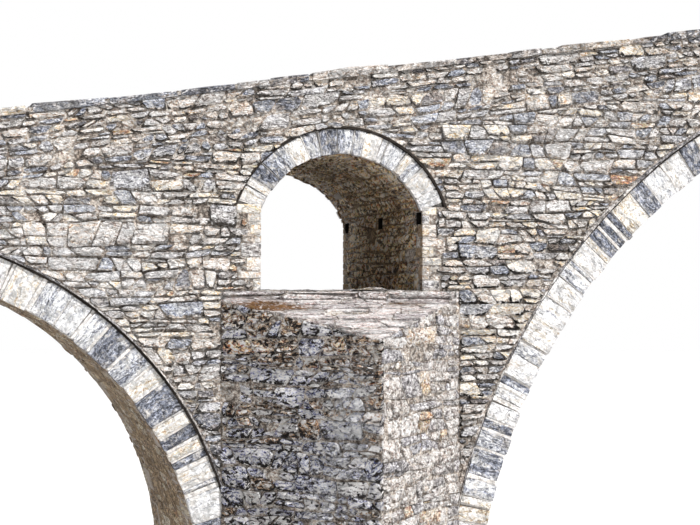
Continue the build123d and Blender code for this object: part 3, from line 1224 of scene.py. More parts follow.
# Corners: stacks of blocks that turn a corner.
def corner_stack(x, side, away, foot, head, reach, style, heights=(0.07, 0.14), proud=0.011):
    """Blocks that turn a vertical corner of a face at x. The masonry lies to the side away along the face.

    Returns the blocks as (plan, low, high, tone) and, for each, its levels and its reach on both faces.
    """
    rnd = style.rnd
    levels = [foot]
    while levels[-1] < head - 0.5 * heights[0]:
        levels.append(levels[-1] + rnd.uniform(*heights))
    scale = (head - foot) / (levels[-1] - foot)
    levels = [foot + (level - foot) * scale for level in levels]
    corner = Vector((x, side * sizes().half_width))
    u, v, nu, nv = map(Vector, ((away, 0), (0, -side), (0, side), (-away, 0)))
    blocks, reaches = [], []
    long_side = rnd.random() < 0.5
    for low, high in zip(levels, levels[1:]):
        a = rnd.uniform(*reach[0]) * (1.0 if long_side else 0.55)
        b = rnd.uniform(*reach[1]) * (0.55 if long_side else 1.0)
        h = proud * rnd.uniform(0.6, 1.4)
        plan = [
            corner + (nu + nv) * h / (1 + nu.dot(nv)),
            corner + u * a + nu * h * rnd.uniform(0.6, 1.1),
            corner + u * a - nu * 0.02,
            corner + v * b - nv * 0.02,
            corner + v * b + nv * h * rnd.uniform(0.6, 1.1),
        ]
        gap = style.joint * rnd.uniform(0.5, 1.5)
        blocks.append(([tuple(p) for p in plan], low + gap, high - gap, style.tone()))
        reaches.append((low, high, a, b))
        long_side = not long_side
    return blocks, reaches


def reach_at(reaches, low, high, face):
    """How far the corner blocks reach between two levels: into the long face, 0, or across the bridge, 1."""
    return max((r[2 + face] for r in reaches if r[1] > low and r[0] < high), default=0.0)


def add_blocks(name, blocks, material_name):
    """Corner blocks as one piece, with worn edges."""
    bm = bmesh.new()
    flat = bm.verts.layers.float_vector.new("grain")
    tone_layer = bm.verts.layers.float.new("tone")
    number = bm.faces.layers.int.new("stone")
    for i, (plan, low, high, tone) in enumerate(blocks):
        verts = []
        for x, y in plan:
            vert = bm.verts.new((x, y, low))
            vert[flat] = (x + y, low, i * 0.618 % 1 * 60)
            vert[tone_layer] = tone
            verts.append(vert)
        bm.faces.new(verts)[number] = i
    raised = bmesh.ops.extrude_face_region(bm, geom=bm.faces[:], use_keep_orig=True)["geom"]
    for face in raised:
        if isinstance(face, bmesh.types.BMFace):
            high = blocks[face[number]][2]
            for vert in face.verts:
                vert.co.z = high
                vert[flat] = (vert[flat][0], high, vert[flat][2])
    bmesh.ops.recalc_face_normals(bm, faces=bm.faces)
    bmesh.ops.bevel(
        bm,
        geom=bm.edges[:],
        offset=0.0045,
        offset_type="OFFSET",
        segments=1,
        profile=0.5,
        affect="EDGES",
        clamp_overlap=True,
        material=-1,
    )
    return add_piece(name, bm, material(material_name))


def beside_cutwater(point, x):
    """Keep a block on the narrow strip between the edge of the pier at x and its cutwater."""
    reach = cutwater_half_width() + CLEAR
    if abs(point[0] - x) < reach:
        return x + math.copysign(reach, point[0] - x), point[1]
    return point


class Corners:
    """All the stacks of corner blocks, and how far each reaches into its faces."""

    def __init__(self):
        self.walls, self.windows = [], []
        self.jambs, self.piers, self.ends = {}, {}, {}
        for side, _ in FACES:
            for half, _ in HALVES:
                seed = 300 + 10 * side + 3 * half
                for edge in (-1, 1):
                    self.turn_jamb(half, side, edge, Laying(seed + 40 + edge, tones=JAMB_TONES))
                    self.turn_pier(half, side, edge, Laying(seed + 80 + edge))
                self.turn_abutment(half, side, Laying(seed + 120))
                self.turn_end(half, side, Laying(seed + 160))

    def turn_jamb(self, half, side, edge, style):
        """Small blocks beside a window. Those at the height of the beam sockets are short inside."""
        z = sizes()
        x = half * pier_x() + edge * z.window_width / 2
        under_sockets = window_spring() - z.socket_drop - z.socket_height - CLEAR
        self.jambs[half, side, edge] = []
        for foot, head, inner in (
            (window_sill(), under_sockets, (0.05, 0.13)),
            (under_sockets, window_spring(), (0.02, 0.02)),
        ):
            reach = ((0.06, 0.17), inner)
            blocks, reaches = corner_stack(x, side, edge, foot, head, reach, style, (0.04, 0.09), 0.004)
            self.windows += blocks
            self.jambs[half, side, edge] += reaches

    def turn_pier(self, half, side, edge, style):
        """Blocks at a pier's edge, as wide as the strip beside its cutwater."""
        z = sizes()
        x = half * pier_x() + edge * z.pier_width / 2
        head = z.main_springing if edge == -half else side_springing()
        strip = z.cutwater_set_in * 0.94
        reach = ((strip, strip / 0.56), (0.12, 0.26))
        blocks, self.piers[half, side, edge] = corner_stack(x, side, -edge, 0, head, reach, style)
        for plan, *rest in blocks:
            self.walls.append(([beside_cutwater(point, half * pier_x()) for point in plan], *rest))

    def turn_abutment(self, half, side, style):
        """Blocks where a small arch meets its abutment."""
        x = half * (side_x() + sizes().side_radius)
        reach = ((0.14, 0.3), (0.14, 0.28))
        blocks, self.piers[half, side, 0] = corner_stack(x, side, half, 0, side_springing(), reach, style)
        self.walls += blocks

    def turn_end(self, half, side, style):
        """Blocks at an end of the bridge."""
        length = sizes().half_length
        reach = ((0.14, 0.3), (0.14, 0.28))
        head = wall_top(length) - 0.01
        blocks, self.ends[half, side] = corner_stack(half * length, side, -half, 0, head, reach, style)
        self.walls += blocks


@cache
def corners():
    """The corner blocks, laid once for every face that meets them."""
    return Corners()


def between_corners(stacks):
    """Cuts a stone to the room between the corner blocks of the front, side -1, and the back, side 1."""

    def bounds(points):
        low, high = min(p[1] for p in points), max(p[1] for p in points)
        for side, reaches in stacks.items():
            points = clip(points, side, 0, sizes().half_width - reach_at(reaches, low, high, 1) - CLEAR)
        return points

    return bounds


def thin_hood_level():
    """The large arch's hood is thin under this level."""
    return sizes().main_springing + 0.71 * sizes().main_radius


def clear_hood(stone):
    """Lift a stone that lies over the outer part of a hood's bed."""
    for arch in arches():
        reach = arch.radius + arch.ring + sizes().hood + 0.003
        if min(math.hypot(s - arch.x, t - arch.centre) for s, t in stone[0]) < reach:
            return (stone[0], max(stone[1], 0.0135), 0.3 * stone[2], 0.3 * stone[3], stone[4])
    return stone


# Where the face stones may lie.
def under_deck_line(points, gap):
    """Cut a stone of a face to the slope of the parapet's top, that gap under it."""
    x = middle(points)[0]
    slope = (wall_top(abs(x) + 0.05) - wall_top(abs(x) - 0.05)) / 0.1 * (1 if x > 0 else -1)
    run = math.hypot(1, slope)
    limit = wall_top(x) - gap - slope * x
    return clip(points, -slope / run, 1 / run, limit / run)


def face_bounds(side, top_gap):
    """Cuts a stone of the front or back face to the openings, the cutwaters and the deck line."""
    z = sizes()
    stacks = corners()
    px, sx = pier_x(), side_x()
    side_out = z.side_radius + z.side_ring + 0.52 * z.hood
    window_out = window_radius() + z.window_ring
    sill, spring = window_sill(), window_spring()
    half_window, half_cut = z.window_width / 2, cutwater_half_width()

    def bounds(points):
        cx, cz = middle(points)
        half = 1 if cx > 0 else -1
        ax = abs(cx)
        away = 1 if cx > half * px else -1
        low, high = min(p[1] for p in points), max(p[1] for p in points)
        points = under_deck_line(points, top_gap)
        main_out = z.main_radius + z.main_ring + (0.8 if cz > thin_hood_level() else 0.42) * z.hood
        if high > z.main_springing and ax < main_out + 0.5:
            points = outside_circle(points, 0, z.main_springing, main_out)
        elif ax < z.main_radius:
            return []
        if high > side_springing() and abs(ax - sx) < side_out + 0.5:
            points = outside_circle(points, half * sx, side_springing(), side_out)
        elif high <= side_springing() and sx - z.side_radius < ax < sx + z.side_radius:
            return []
        if low < side_springing() and ax > sx:
            edge = sx + z.side_radius + reach_at(stacks.piers[half, side, 0], low, high, 0) + CLEAR
            points = clip(points, -half, 0, -edge)
        end = z.half_length - reach_at(stacks.ends[half, side], low, high, 0) - CLEAR
        points = clip(points, half, 0, end)
        if low < sill and abs(ax - px) < half_cut + 0.3:
            if abs(ax - px) < half_cut and high < sill + 0.02:
                return []
            if low < min(z.main_springing, side_springing()) and abs(ax - px) < z.pier_width / 2:
                return []
            if abs(ax - px) < half_cut:
                points = clip(points, 0, -1, -(sill + CLEAR))
            else:
                points = clip(points, -away, 0, -(away * half * px + half_cut + CLEAR))
        if high > sill + 0.03 and low < spring and abs(ax - px) < half_window + 0.5:
            reach = reach_at(stacks.jambs[half, side, away], low, high, 0)
            points = clip(points, -away, 0, -(away * half * px + half_window + reach + CLEAR))
        if high > spring and abs(ax - px) < window_out + 0.4 and cz > window_centre() - 0.1:
            gap = (0.2 if away > 0 else 0.04) * z.hood
            points = outside_circle(points, half * px, window_centre(), window_out + gap)
        return points

    return bounds


# Striking stones of the photographed face: their place along it, their height and their tone.
ACCENTS = (
    (-5.135, 4.792, 0.95),
    (-2.625, 5.08, 1.0),
    (-3.15, 4.987, 0.94),
    (-2.725, 4.963, 0.95),
    (-3.423, 4.876, 0.98),
    (-3.7, 4.398, 0.97),
    (-5.178, 4.459, 0.96),
    (-5.22, 5.291, 0.96),
    (-3.604, 4.867, 0.1),
    (-3.479, 4.467, 0.13),
    (-3.656, 5.416, 0.12),
    (-3.757, 5.12, 0.86),
)

# Lime on the faces, as (place along and height, radii, strength), the same on both halves.
FACE_LIME = (
    ((7.6, 4.6), (1.4, 0.3, 0.6), 0.6),
    ((3.0, 5.25), (1.0, 0.3, 0.45), 0.45),
    ((6.1, 4.35), (0.8, 0.3, 0.7), 0.4),
    ((4.5, 5.4), (0.7, 0.3, 0.12), 0.35),
)
# Stains of the cutwater in the photograph, as (layer, centre, radii, strength).
FLANK_LIME = (
    ("lime", (-4.62, -1.5, 3.62), (0.1, 0.2, 0.3), 1.0),
    ("lime", (-4.75, -1.4, 3.1), (0.12, 0.2, 0.35), 0.5),
)
TOP_MOSS = (
    ("moss", (-5.02, -1.0, 4.27), (0.13, 0.1, 0.12), 1.4),
    ("moss", (-4.86, -1.06, 4.27), (0.12, 0.06, 0.12), 1.2),
    ("moss", (-4.11, -1.0, 4.31), (0.14, 0.07, 0.1), 0.8),
)


class BRIDGE_OT_walls(bpy.types.Operator):
    """Lay the rubble of both faces"""

    bl_idname = "bridge.walls"
    bl_label = "Face walls"

    def execute(self, context):
        z = sizes()
        for side, face in FACES:
            bounds = face_bounds(side, TOP_BAND)
            accents = ACCENTS if side < 0 else ()
            stones = lay_courses(
                -z.half_length, z.half_length, 0, wall_top(0), Laying(side + 2), bounds, accents
            )
            stones = [clear_hood(stone) for stone in stones + self.top_band(side)]
            for half, word in HALVES:
                part = [stone for stone in stones if middle(stone[0])[0] * half > 0]
                stains = [
                    ("lime", (half * x, side * z.half_width, level), radii, strength)
                    for (x, level), radii, strength in FACE_LIME
                ]
                groups = [(part, on_face(side), FACE_BED, False)]
                name = f"rubble_{face}_{word}"
                raise_stones(name, groups, material("wall_rubble"), stains=stains)
        return {"FINISHED"}

    def top_band(self, side):
        """The rubble right under the coping, in beds that follow the deck line."""
        length = sizes().half_length
        bounds = face_bounds(side, CLEAR)
        style = Laying(
            side + 20,
            tones=TOP_TONES,
            joint=stonework().joint * 1.6,
            proud=(0.002, 0.012),
            lift=(0.07, 0.115),
            hollow=0.05,
            cut_chance=0.55,
        )

        def under_top(points):
            return bounds([(s, wall_top(s) - t) for s, t in points][::-1])

        return lay_courses(-length, length, 0.002, TOP_BAND - CLEAR, style, under_top, level_ends=True)


class BRIDGE_OT_corners(bpy.types.Operator):
    """Set the blocks that turn the corners"""

    bl_idname = "bridge.corners"
    bl_label = "Corner blocks"

    def execute(self, context):
        add_blocks("corner_blocks", corners().walls, "wall_rubble")
        add_blocks("window_jamb_blocks", corners().windows, "jamb_blocks")
        return {"FINISHED"}


class BRIDGE_OT_cutwaters(bpy.types.Operator):
    """Lay the rubble of the cutwaters and the slabs on their tops"""

    bl_idname = "bridge.cutwaters"
    bl_label = "Cutwaters"

    def execute(self, context):
        for side, face in FACES:
            for half, word in HALVES:
                for edge, kind in ((-1, "shade"), (1, "light")):
                    self.flank(side, half, edge, f"cutwater_{kind}_{face}_{word}")
                self.top(side, half, f"cutwater_top_{face}_{word}")
                self.sill(side, half, f"cutwater_sill_{face}_{word}")
        return {"FINISHED"}

    def flank(self, side, half, edge, name):
        """One flank of a cutwater, from its nose. The left one is brown and grey, the right one pale, and
        each has a copy of the rubble made for the shade or the sun on it.
        """
        z = sizes()
        shaded = edge < 0
        width = cutwater_half_width()
        run = math.hypot(width, z.cutwater_reach)
        top = cutwater_top()
        fall = z.cutwater_fall / run
        style = Laying(
            500 + 10 * side + 3 * half + edge,
            tones=LOW_SHADED_TONES if shaded else PALE_TONES,
            proud=(0.003, 0.01) if shaded else (0.001, 0.005),
            joint=stonework().joint * 0.8,
            length=(0.06, 0.2) if shaded else (0.09, 0.28),
            cell=(0.14, 0.34) if shaded else (0.2, 0.45),
            lift=(0.07, 0.13),
            rows=(0.4, 0.5, 0.1),
            cut=0.034,
            cut_chance=0.6,
            warp=0.022,
        )

        def bounds(points):
            past_nose = style.rnd.uniform(0.003, 0.009) if shaded else -0.002
            points = clip(points, -1, 0, past_nose)
            points = clip(points, 1, 0, run - CLEAR)
            return clip(points, -fall, 1, top - z.cutwater_fall - 0.003)

        stones = lay_courses(0, run, 0, top, style, bounds)
        if shaded:
            stones = [self.aged(stone, style, top - 0.5) for stone in stones]
        nose = Vector((half * pier_x(), side * (z.half_width + z.cutwater_reach), 0))
        along = Vector((edge * width / run, -side * z.cutwater_reach / run, 0))
        normal = Vector((edge * z.cutwater_reach / run, side * width / run, 0))
        groups = [(stones, on_plane(nose, along, (0, 0, 1), normal), FACE_BED, False)]
        stains = FLANK_LIME if side < 0 and half < 0 else ()
        # Lit and shaded copies of one rubble for the two flanks.
        chosen = material("shaded_flank_rubble" if shaded else "sunlit_rubble")
        raise_stones(name, groups, chosen, stains=stains)

    def aged(self, stone, style, level):
        """Brown stones above that level of a shaded flank, violet-grey ones below it."""
        high = middle(stone[0])[1] + style.rnd.uniform(-0.2, 0.2) > level
        style.tones = HIGH_SHADED_TONES if high else LOW_SHADED_TONES
        return stone[:4] + (style.tone(),)

    def sill(self, side, half, name):
        """The course of slabs in the face, between a cutwater's top and the window's sill."""
        x, width = half * pier_x(), cutwater_half_width()
        style = Laying(
            580 + 10 * side + 3 * half,
            lift=(0.056, 0.06),
            cell=(0.2, 0.5),
            length=(0.18, 0.45),
            rows=(0.55, 0.45, 0),
            tones=((0.2, 0.4, 0.6), (0.8, 0.6, 0.87)),
            proud=(0.004, 0.014),
            hollow=0.0,
        )
        stones = lay_courses(x - width, x + width, cutwater_top(), window_sill(), style, level_ends=True)
        raise_stones(name, [(stones, on_face(side), FACE_BED, False)], material("strata_slab"))

    def top(self, side, half, name):
        """The split slabs on a cutwater's sloped top, with a ragged lip over its flanks."""
        z = sizes()
        width, reach = cutwater_half_width(), z.cutwater_reach
        run = math.hypot(width, reach)
        lip = 0.009
        style = Laying(
            560 + 10 * side + 3 * half,
            lift=(0.09, 0.15),
            cell=(0.2, 0.42),
            length=(0.16, 0.36),
            rows=(0.75, 0.25, 0),
            tones=((0.15, 0.36, 0.5), (0.85, 0.5, 0.87)),
            proud=(0.002, 0.008),
            tilt=0.03,
        )

        def bounds(points):
            past_edge = lip * style.rnd.uniform(0.2, 1.8)
            points = clip(points, reach / run, width / run, width * reach / run + 0.3 * past_edge)
            return clip(points, -reach / run, width / run, width * reach / run + past_edge)

        def place(s, t, h):
            level = cutwater_top() - z.cutwater_fall * t / reach
            return Vector((half * pier_x() + s, side * (z.half_width + t), level + h))

        stones = lay_courses(-width, width, 0, reach, style, bounds)
        stains = TOP_MOSS if side < 0 and half < 0 else ()
        groups = [(stones, place, THIN_BED, False)]
        raise_stones(name, groups, material("strata_slab"), stains=stains)


class BRIDGE_OT_rings(bpy.types.Operator):
    """Set the ring stones of every arch"""

    bl_idname = "bridge.rings"
    bl_label = "Ring stones"

    def execute(self, context):
        z = sizes()
        for arch in arches():
            groups = []
            for side, _ in FACES:
                mid = arch.radius + arch.ring / 2
                place = on_ring(arch.x, arch.centre, mid, side, z.half_width - z.ring_recess)
                groups.append((self.ring_stones(arch, side, mid), place, RING_BED, True))
            raise_stones(f"{arch.label}_ring_stones", groups, material("ring_marble"), 0.0025)
        return {"FINISHED"}

    def ring_stones(self, arch, side, mid):
        """The ring stones of one face, each with the strip of white mortar after it."""
        s = stonework()
        small = arch.label.startswith("window")
        style = Laying(
            700 + len(arch.label) * 7 + int(arch.x * 3) + side,
            tones=WINDOW_RING_TONES if small else RING_TONES,
            cut=0.014,
            cut_chance=0.35,
        )
        rnd = style.rnd
        first, last = arch.foot, math.pi - arch.foot
        thin, thick = (0.04, 0.12) if small else (s.voussoir_low, s.voussoir_high)
        cuts = [first]
        while cuts[-1] < last - s.voussoir_low / mid:
            cuts.append(cuts[-1] + (thin + (thick - thin) * rnd.random() ** 1.3) / mid)
        cuts = [first + (cut - first) * (last - first) / (cuts[-1] - first) for cut in cuts]
        stones = []
        for start, end in zip(cuts, cuts[1:]):
            strip = rnd.uniform(0.003, 0.009) if small else rnd.choice((0.004, 0.01, 0.018, 0.028))
            turn = rnd.uniform(-0.008, 0.008)
            inner, outer = arch.radius + rnd.uniform(-0.012, 0.004), arch.radius + arch.ring - 0.003
            s0, s1 = start * mid, end * mid - strip
            outline = knock_corners([(s0, inner), (s1, inner), (s1 + turn, outer), (s0 + turn, outer)], style)
            rise = rnd.uniform(0.024, 0.032)
            stones.append((outline, rise, rnd.gauss(0, 0.03), rnd.gauss(0, 0.02), style.tone()))
            inner = arch.radius + rnd.uniform(-0.002, 0.006)
            quad = [(s1, inner), (s1 + strip, inner), (s1 + strip + turn, outer), (s1 + turn, outer)]
            stones.append((quad, rnd.uniform(0.021, 0.028), 0.0, 0.0, 1.0))
        return stones


class BRIDGE_OT_hoods(bpy.types.Operator):
    """Lay the thin slabs over the large and the small rings"""

    bl_idname = "bridge.hoods"
    bl_label = "Hood slabs"

    def execute(self, context):
        for arch in hooded_arches():
            groups = []
            for side, _ in FACES:
                radius = arch.radius + arch.ring
                place = on_ring(arch.x, arch.centre, radius, side, sizes().half_width)
                groups.append((self.hood_stones(arch, side, radius), place, HOOD_BED, False))
            raise_stones(f"{arch.label}_hood_stones", groups, material("hood_slab"), 0.0015)
        return {"FINISHED"}

    def hood_stones(self, arch, side, radius):
        """The slabs of one face, bent along the ring, but for those that a cutwater hides."""
        style = Laying(800 + len(arch.label) * 5 + int(arch.x * 3) + side, tones=HOOD_TONES)
        rnd = style.rnd
        stones = []
        start = 0.0
        while start < math.pi - 0.02:
            end = min(math.pi, start + rnd.uniform(0.1, 0.36) / radius)
            mid = (start + end) / 2
            level = arch.centre + radius * math.sin(mid)
            if arch.label != "main":
                gap, thick = (0.006, 0.01), (0.5, 0.62)
            elif level > thin_hood_level():
                gap, thick = (0.005, 0.009), (0.66, 0.78)
            else:
                gap, thick = (0.001, 0.004), (0.28, 0.4)
            inner = radius + rnd.uniform(*gap)
            outer = radius + sizes().hood * rnd.uniform(*thick)
            turn = rnd.uniform(-0.008, 0.008)
            steps = max(1, round((end - start) * radius / 0.12))
            marks = [(start + (end - start) * i / steps) * radius for i in range(steps + 1)]
            outline = [(mark + 0.002, inner) for mark in marks]
            outline += [(mark - 0.002 + turn, outer) for mark in reversed(marks)]
            off_pier = abs(abs(arch.x + radius * math.cos(mid)) - pier_x())
            hidden = off_pier < cutwater_half_width() and level < cutwater_top()
            if not hidden and rnd.random() > 0.03:
                rise = rnd.uniform(0.012, 0.022)
                stones.append((outline, rise, rnd.gauss(0, 0.02), 0.0, style.tone()))
            start = end
        return stones


class BRIDGE_OT_undersides(bpy.types.Operator):
    """Lay the rough rubble under the arches and on the inner faces of the piers"""

    bl_idname = "bridge.undersides"
    bl_label = "Undersides"

    def execute(self, context):
        for arch in hooded_arches():
            self.underside(arch)
        groups = []
        for half, _ in HALVES:
            inner, outer = sizes().main_radius, sizes().main_radius + sizes().pier_width
            groups += [
                self.inner_face(half * inner, -half, sizes().main_springing, (half, -half)),
                self.inner_face(half * outer, half, side_springing(), (half, half)),
                self.inner_face(half * (side_x() + sizes().side_radius), -half, side_springing(), (half, 0)),
            ]
        raise_stones("pier_inner_faces", groups, material("wall_rubble"))
        return {"FINISHED"}

    def underside(self, arch):
        reach = sizes().half_width - sizes().ring_recess - 0.002
        style = Laying(
            900 + len(arch.label) + int(arch.x),
            tones=BROWN_TONES,
            proud=(0.001, 0.004),
            tilt=0.03,
            joint=0.004,
            lift=(0.1, 0.16),
            rows=(0.3, 0.7, 0),
            length=(0.13, 0.26),
            loose=True,
        )
        stones = lay_courses(-reach, reach, 0, math.pi * arch.radius, style, level_ends=True)
        groups = [(stones, under_arch(arch.x, arch.centre, arch.radius), INNER_BED, False)]
        raise_stones(f"{arch.label}_underside", groups, material("brown_rubble"))

    def inner_face(self, x, outward, top, corner):
        """A face of a pier or an abutment under an arch. Corner is the half and edge of its corner blocks."""
        half_width = sizes().half_width
        style = Laying(
            950 + int(x * 10),
            length=(0.16, 0.32),
            rows=(0.4, 0.6, 0),
            proud=(0.003, 0.011),
            lift=(0.1, 0.15),
        )
        half, edge = corner
        bounds = between_corners({side: corners().piers[half, side, edge] for side, _ in FACES})
        stones = lay_courses(-half_width, half_width, 0, top, style, bounds, level_ends=True)
        return stones, on_plane((x, 0, 0), (0, 1, 0), (0, 0, 1), (outward, 0, 0)), INNER_BED, False


class BRIDGE_OT_windows(bpy.types.Operator):
    """Lay the rubble inside the window passages"""

    bl_idname = "bridge.windows"
    bl_label = "Window passages"

    def execute(self, context):
        for half, word in HALVES:
            groups = [self.jamb(half, -1), self.jamb(half, 1), self.vault(half)]
            raise_stones(f"passage_{word}", groups, material("passage_rubble"), 0.003)
            self.floor(half, f"passage_floor_{word}")
        return {"FINISHED"}

    def jamb(self, half, edge):
        """One side of a passage, laid round its beam sockets."""
        z = sizes()
        style = Laying(
            1000 + 5 * half + edge,
            tones=BROWN_TONES,
            proud=(0.001, 0.005),
            joint=0.0025,
            lift=(0.05, 0.11),
            length=(0.06, 0.2),
            loose=True,
        )
        between = between_corners({side: corners().jambs[half, side, edge] for side, _ in FACES})
        stones = lay_courses(
            -z.half_width,
            z.half_width,
            window_sill(),
            window_spring(),
            style,
            lambda points: self.clear_of_sockets(between(points)),
            level_ends=True,
        )
        x = half * pier_x() + edge * z.window_width / 2
        return stones, on_plane((x, 0, 0), (0, 1, 0), (0, 0, 1), (-edge, 0, 0)), THIN_BED, False

    def clear_of_sockets(self, points):
        z = sizes()
        head = window_spring() - z.socket_drop
        around = 0.002
        for y in (-z.socket_spacing, 0, z.socket_spacing):
            half = z.socket_width / 2 + around
            points = outside_box(points, y - half, y + half, head - z.socket_height - around, head + around)
        return points

    def vault(self, half):
        """The underside of a window's arch."""
        z = sizes()
        radius = window_radius()
        foot = math.asin((window_spring() - window_centre()) / radius)
        reach = z.half_width - z.ring_recess - 0.002
        style = Laying(
            1040 + half,
            tones=BROWN_TONES,
            proud=(0.001, 0.007),
            joint=0.0025,
            lift=(0.04, 0.08),
            length=(0.06, 0.16),
            loose=True,
        )
        stones = lay_courses(-reach, reach, foot * radius, (math.pi - foot) * radius, style, level_ends=True)
        return stones, under_arch(half * pier_x(), window_centre(), radius), THIN_BED, False

    def floor(self, half, name):
        z = sizes()
        style = Laying(
            1060 + half,
            tones=SLAB_TONES,
            proud=(0.0005, 0.0015),
            tilt=0.005,
            rows=(0.7, 0.3, 0),
            length=(0.16, 0.3),
        )
        reach = z.window_width / 2
        stones = lay_courses(-reach, reach, -z.half_width, z.half_width, style, level_ends=True)
        place = on_plane((half * pier_x(), 0, window_sill()), (1, 0, 0), (0, 1, 0), (0, 0, 1))
        raise_stones(name, [(stones, place, THIN_BED, False)], material("split_slab"))


class BRIDGE_OT_ends(bpy.types.Operator):
    """Lay the rubble of both end faces"""

    bl_idname = "bridge.ends"
    bl_label = "End faces"

    def execute(self, context):
        z = sizes()
        top = deck(z.half_length) + z.paving
        groups = []
        for half, _ in HALVES:
            style = Laying(1100 + half, length=(0.16, 0.32), rows=(0.4, 0.6, 0), lift=(0.1, 0.15))
            bounds = between_corners({side: corners().ends[half, side] for side, _ in FACES})
            stones = lay_courses(-z.half_width, z.half_width, 0, top, style, bounds, level_ends=True)
            place = on_plane((half * z.half_length, 0, 0), (0, 1, 0), (0, 0, 1), (half, 0, 0))
            groups.append((stones, place, INNER_BED, False))
        raise_stones("end_faces", groups, material("wall_rubble"))
        return {"FINISHED"}


class BRIDGE_OT_coping(bpy.types.Operator):
    """Lay the irregular slabs along the top of both parapets"""

    bl_idname = "bridge.coping"
    bl_label = "Coping slabs"

    def execute(self, context):
        place = on_deck(sizes().paving + sizes().parapet_height)
        groups = [(self.slabs(side), place, COPING_BED, False) for side, _ in FACES]
        raise_stones("coping_slabs", groups, material("pale_slab"), 0.003)
        return {"FINISHED"}

    def slabs(self, side):
        """One parapet's slabs, of uneven length and overhang. Some lie as two, side by side."""
        z = sizes()
        style = Laying(1200 + side, tones=TOP_TONES, cut=0.03, cut_chance=0.6)
        rnd = style.rnd
        stones = []
        start = -z.half_length
        while start < z.half_length:
            end = min(z.half_length, start + rnd.uniform(0.1, 0.5))
            outer = z.half_width + rnd.uniform(0.018, 0.026)
            inner = z.half_width - z.parapet_width - rnd.uniform(0.0, 0.02)
            cut = inner + (outer - inner) * rnd.uniform(0.35, 0.65)
            spans = ((inner, cut), (cut, outer)) if rnd.random() < 0.4 else ((inner, outer),)
            for low, high in spans:
                skew = rnd.uniform(-0.02, 0.02)
                low, high = side * low, side * high
                outline = dress([(start, low), (end, low), (end + skew, high), (start + skew, high)], style)
                if outline and rnd.random() > 0.06:
                    rise = z.coping + 0.002 + 0.016 * rnd.random() ** 2
                    stones.append((outline, rise, rnd.gauss(0, 0.015), rnd.gauss(0, 0.02), style.tone()))
            start = end
        return stones


class BRIDGE_OT_paving(bpy.types.Operator):
    """Lay the paving of the roadway and the inner faces of the parapets"""

    bl_idname = "bridge.paving"
    bl_label = "Paving"

    def execute(self, context):
        z = sizes()
        kerb = z.half_width - z.parapet_width
        style = Laying(
            1300,
            tones=SLAB_TONES,
            lift=(0.14, 0.2),
            cell=(0.2, 0.42),
            length=(0.16, 0.3),
            rows=(0.75, 0.25, 0),
            proud=(0.005, 0.014),
            joint=0.005,
            tilt=0.04,
            cut_chance=0.6,
        )
        stones = lay_courses(-z.half_length, z.half_length, -kerb, kerb, style, level_ends=True)
        groups = [(stones, on_deck(z.paving), THIN_BED, False)]
        raise_stones("paving_stones", groups, material("worn_paving"), 0.008)
        groups = [self.kerb_face(side, kerb) for side, _ in FACES]
        raise_stones("kerb_inner_faces", groups, material("wall_rubble"))
        return {"FINISHED"}

    def kerb_face(self, side, kerb):
        z = sizes()
        style = Laying(1340 + side, rows=(1, 0, 0), proud=(0.003, 0.008), lift=(0.07, 0.08))
        stones = lay_courses(-z.half_length, z.half_length, 0.012, z.parapet_height, style, level_ends=True)

        def place(s, t, h):
            return Vector((s, side * (kerb - h), deck(s) + z.paving + t))

        return stones, place, THIN_BED, False


class BRIDGE_OT_mortar(bpy.types.Operator):
    """Give every solid under the stones its mortar"""

    bl_idname = "bridge.mortar"
    bl_label = "Mortar"

    def execute(self, context):
        for name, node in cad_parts.items():
            if "hood" in name:
                chosen = name.split("_")[0] + "_hood_bed"
            elif "ring" in name:
                chosen = "ring_mortar"
            elif "lining" in name:
                chosen = "lining_mortar"
            elif "barrel" in name:
                chosen = "vault_mortar"
            elif "core" in name:
                chosen = "core_rubble"
            else:
                chosen = "wall_mortar"
            node.data.materials.clear()
            node.data.materials.append(material(chosen))
        return {"FINISHED"}


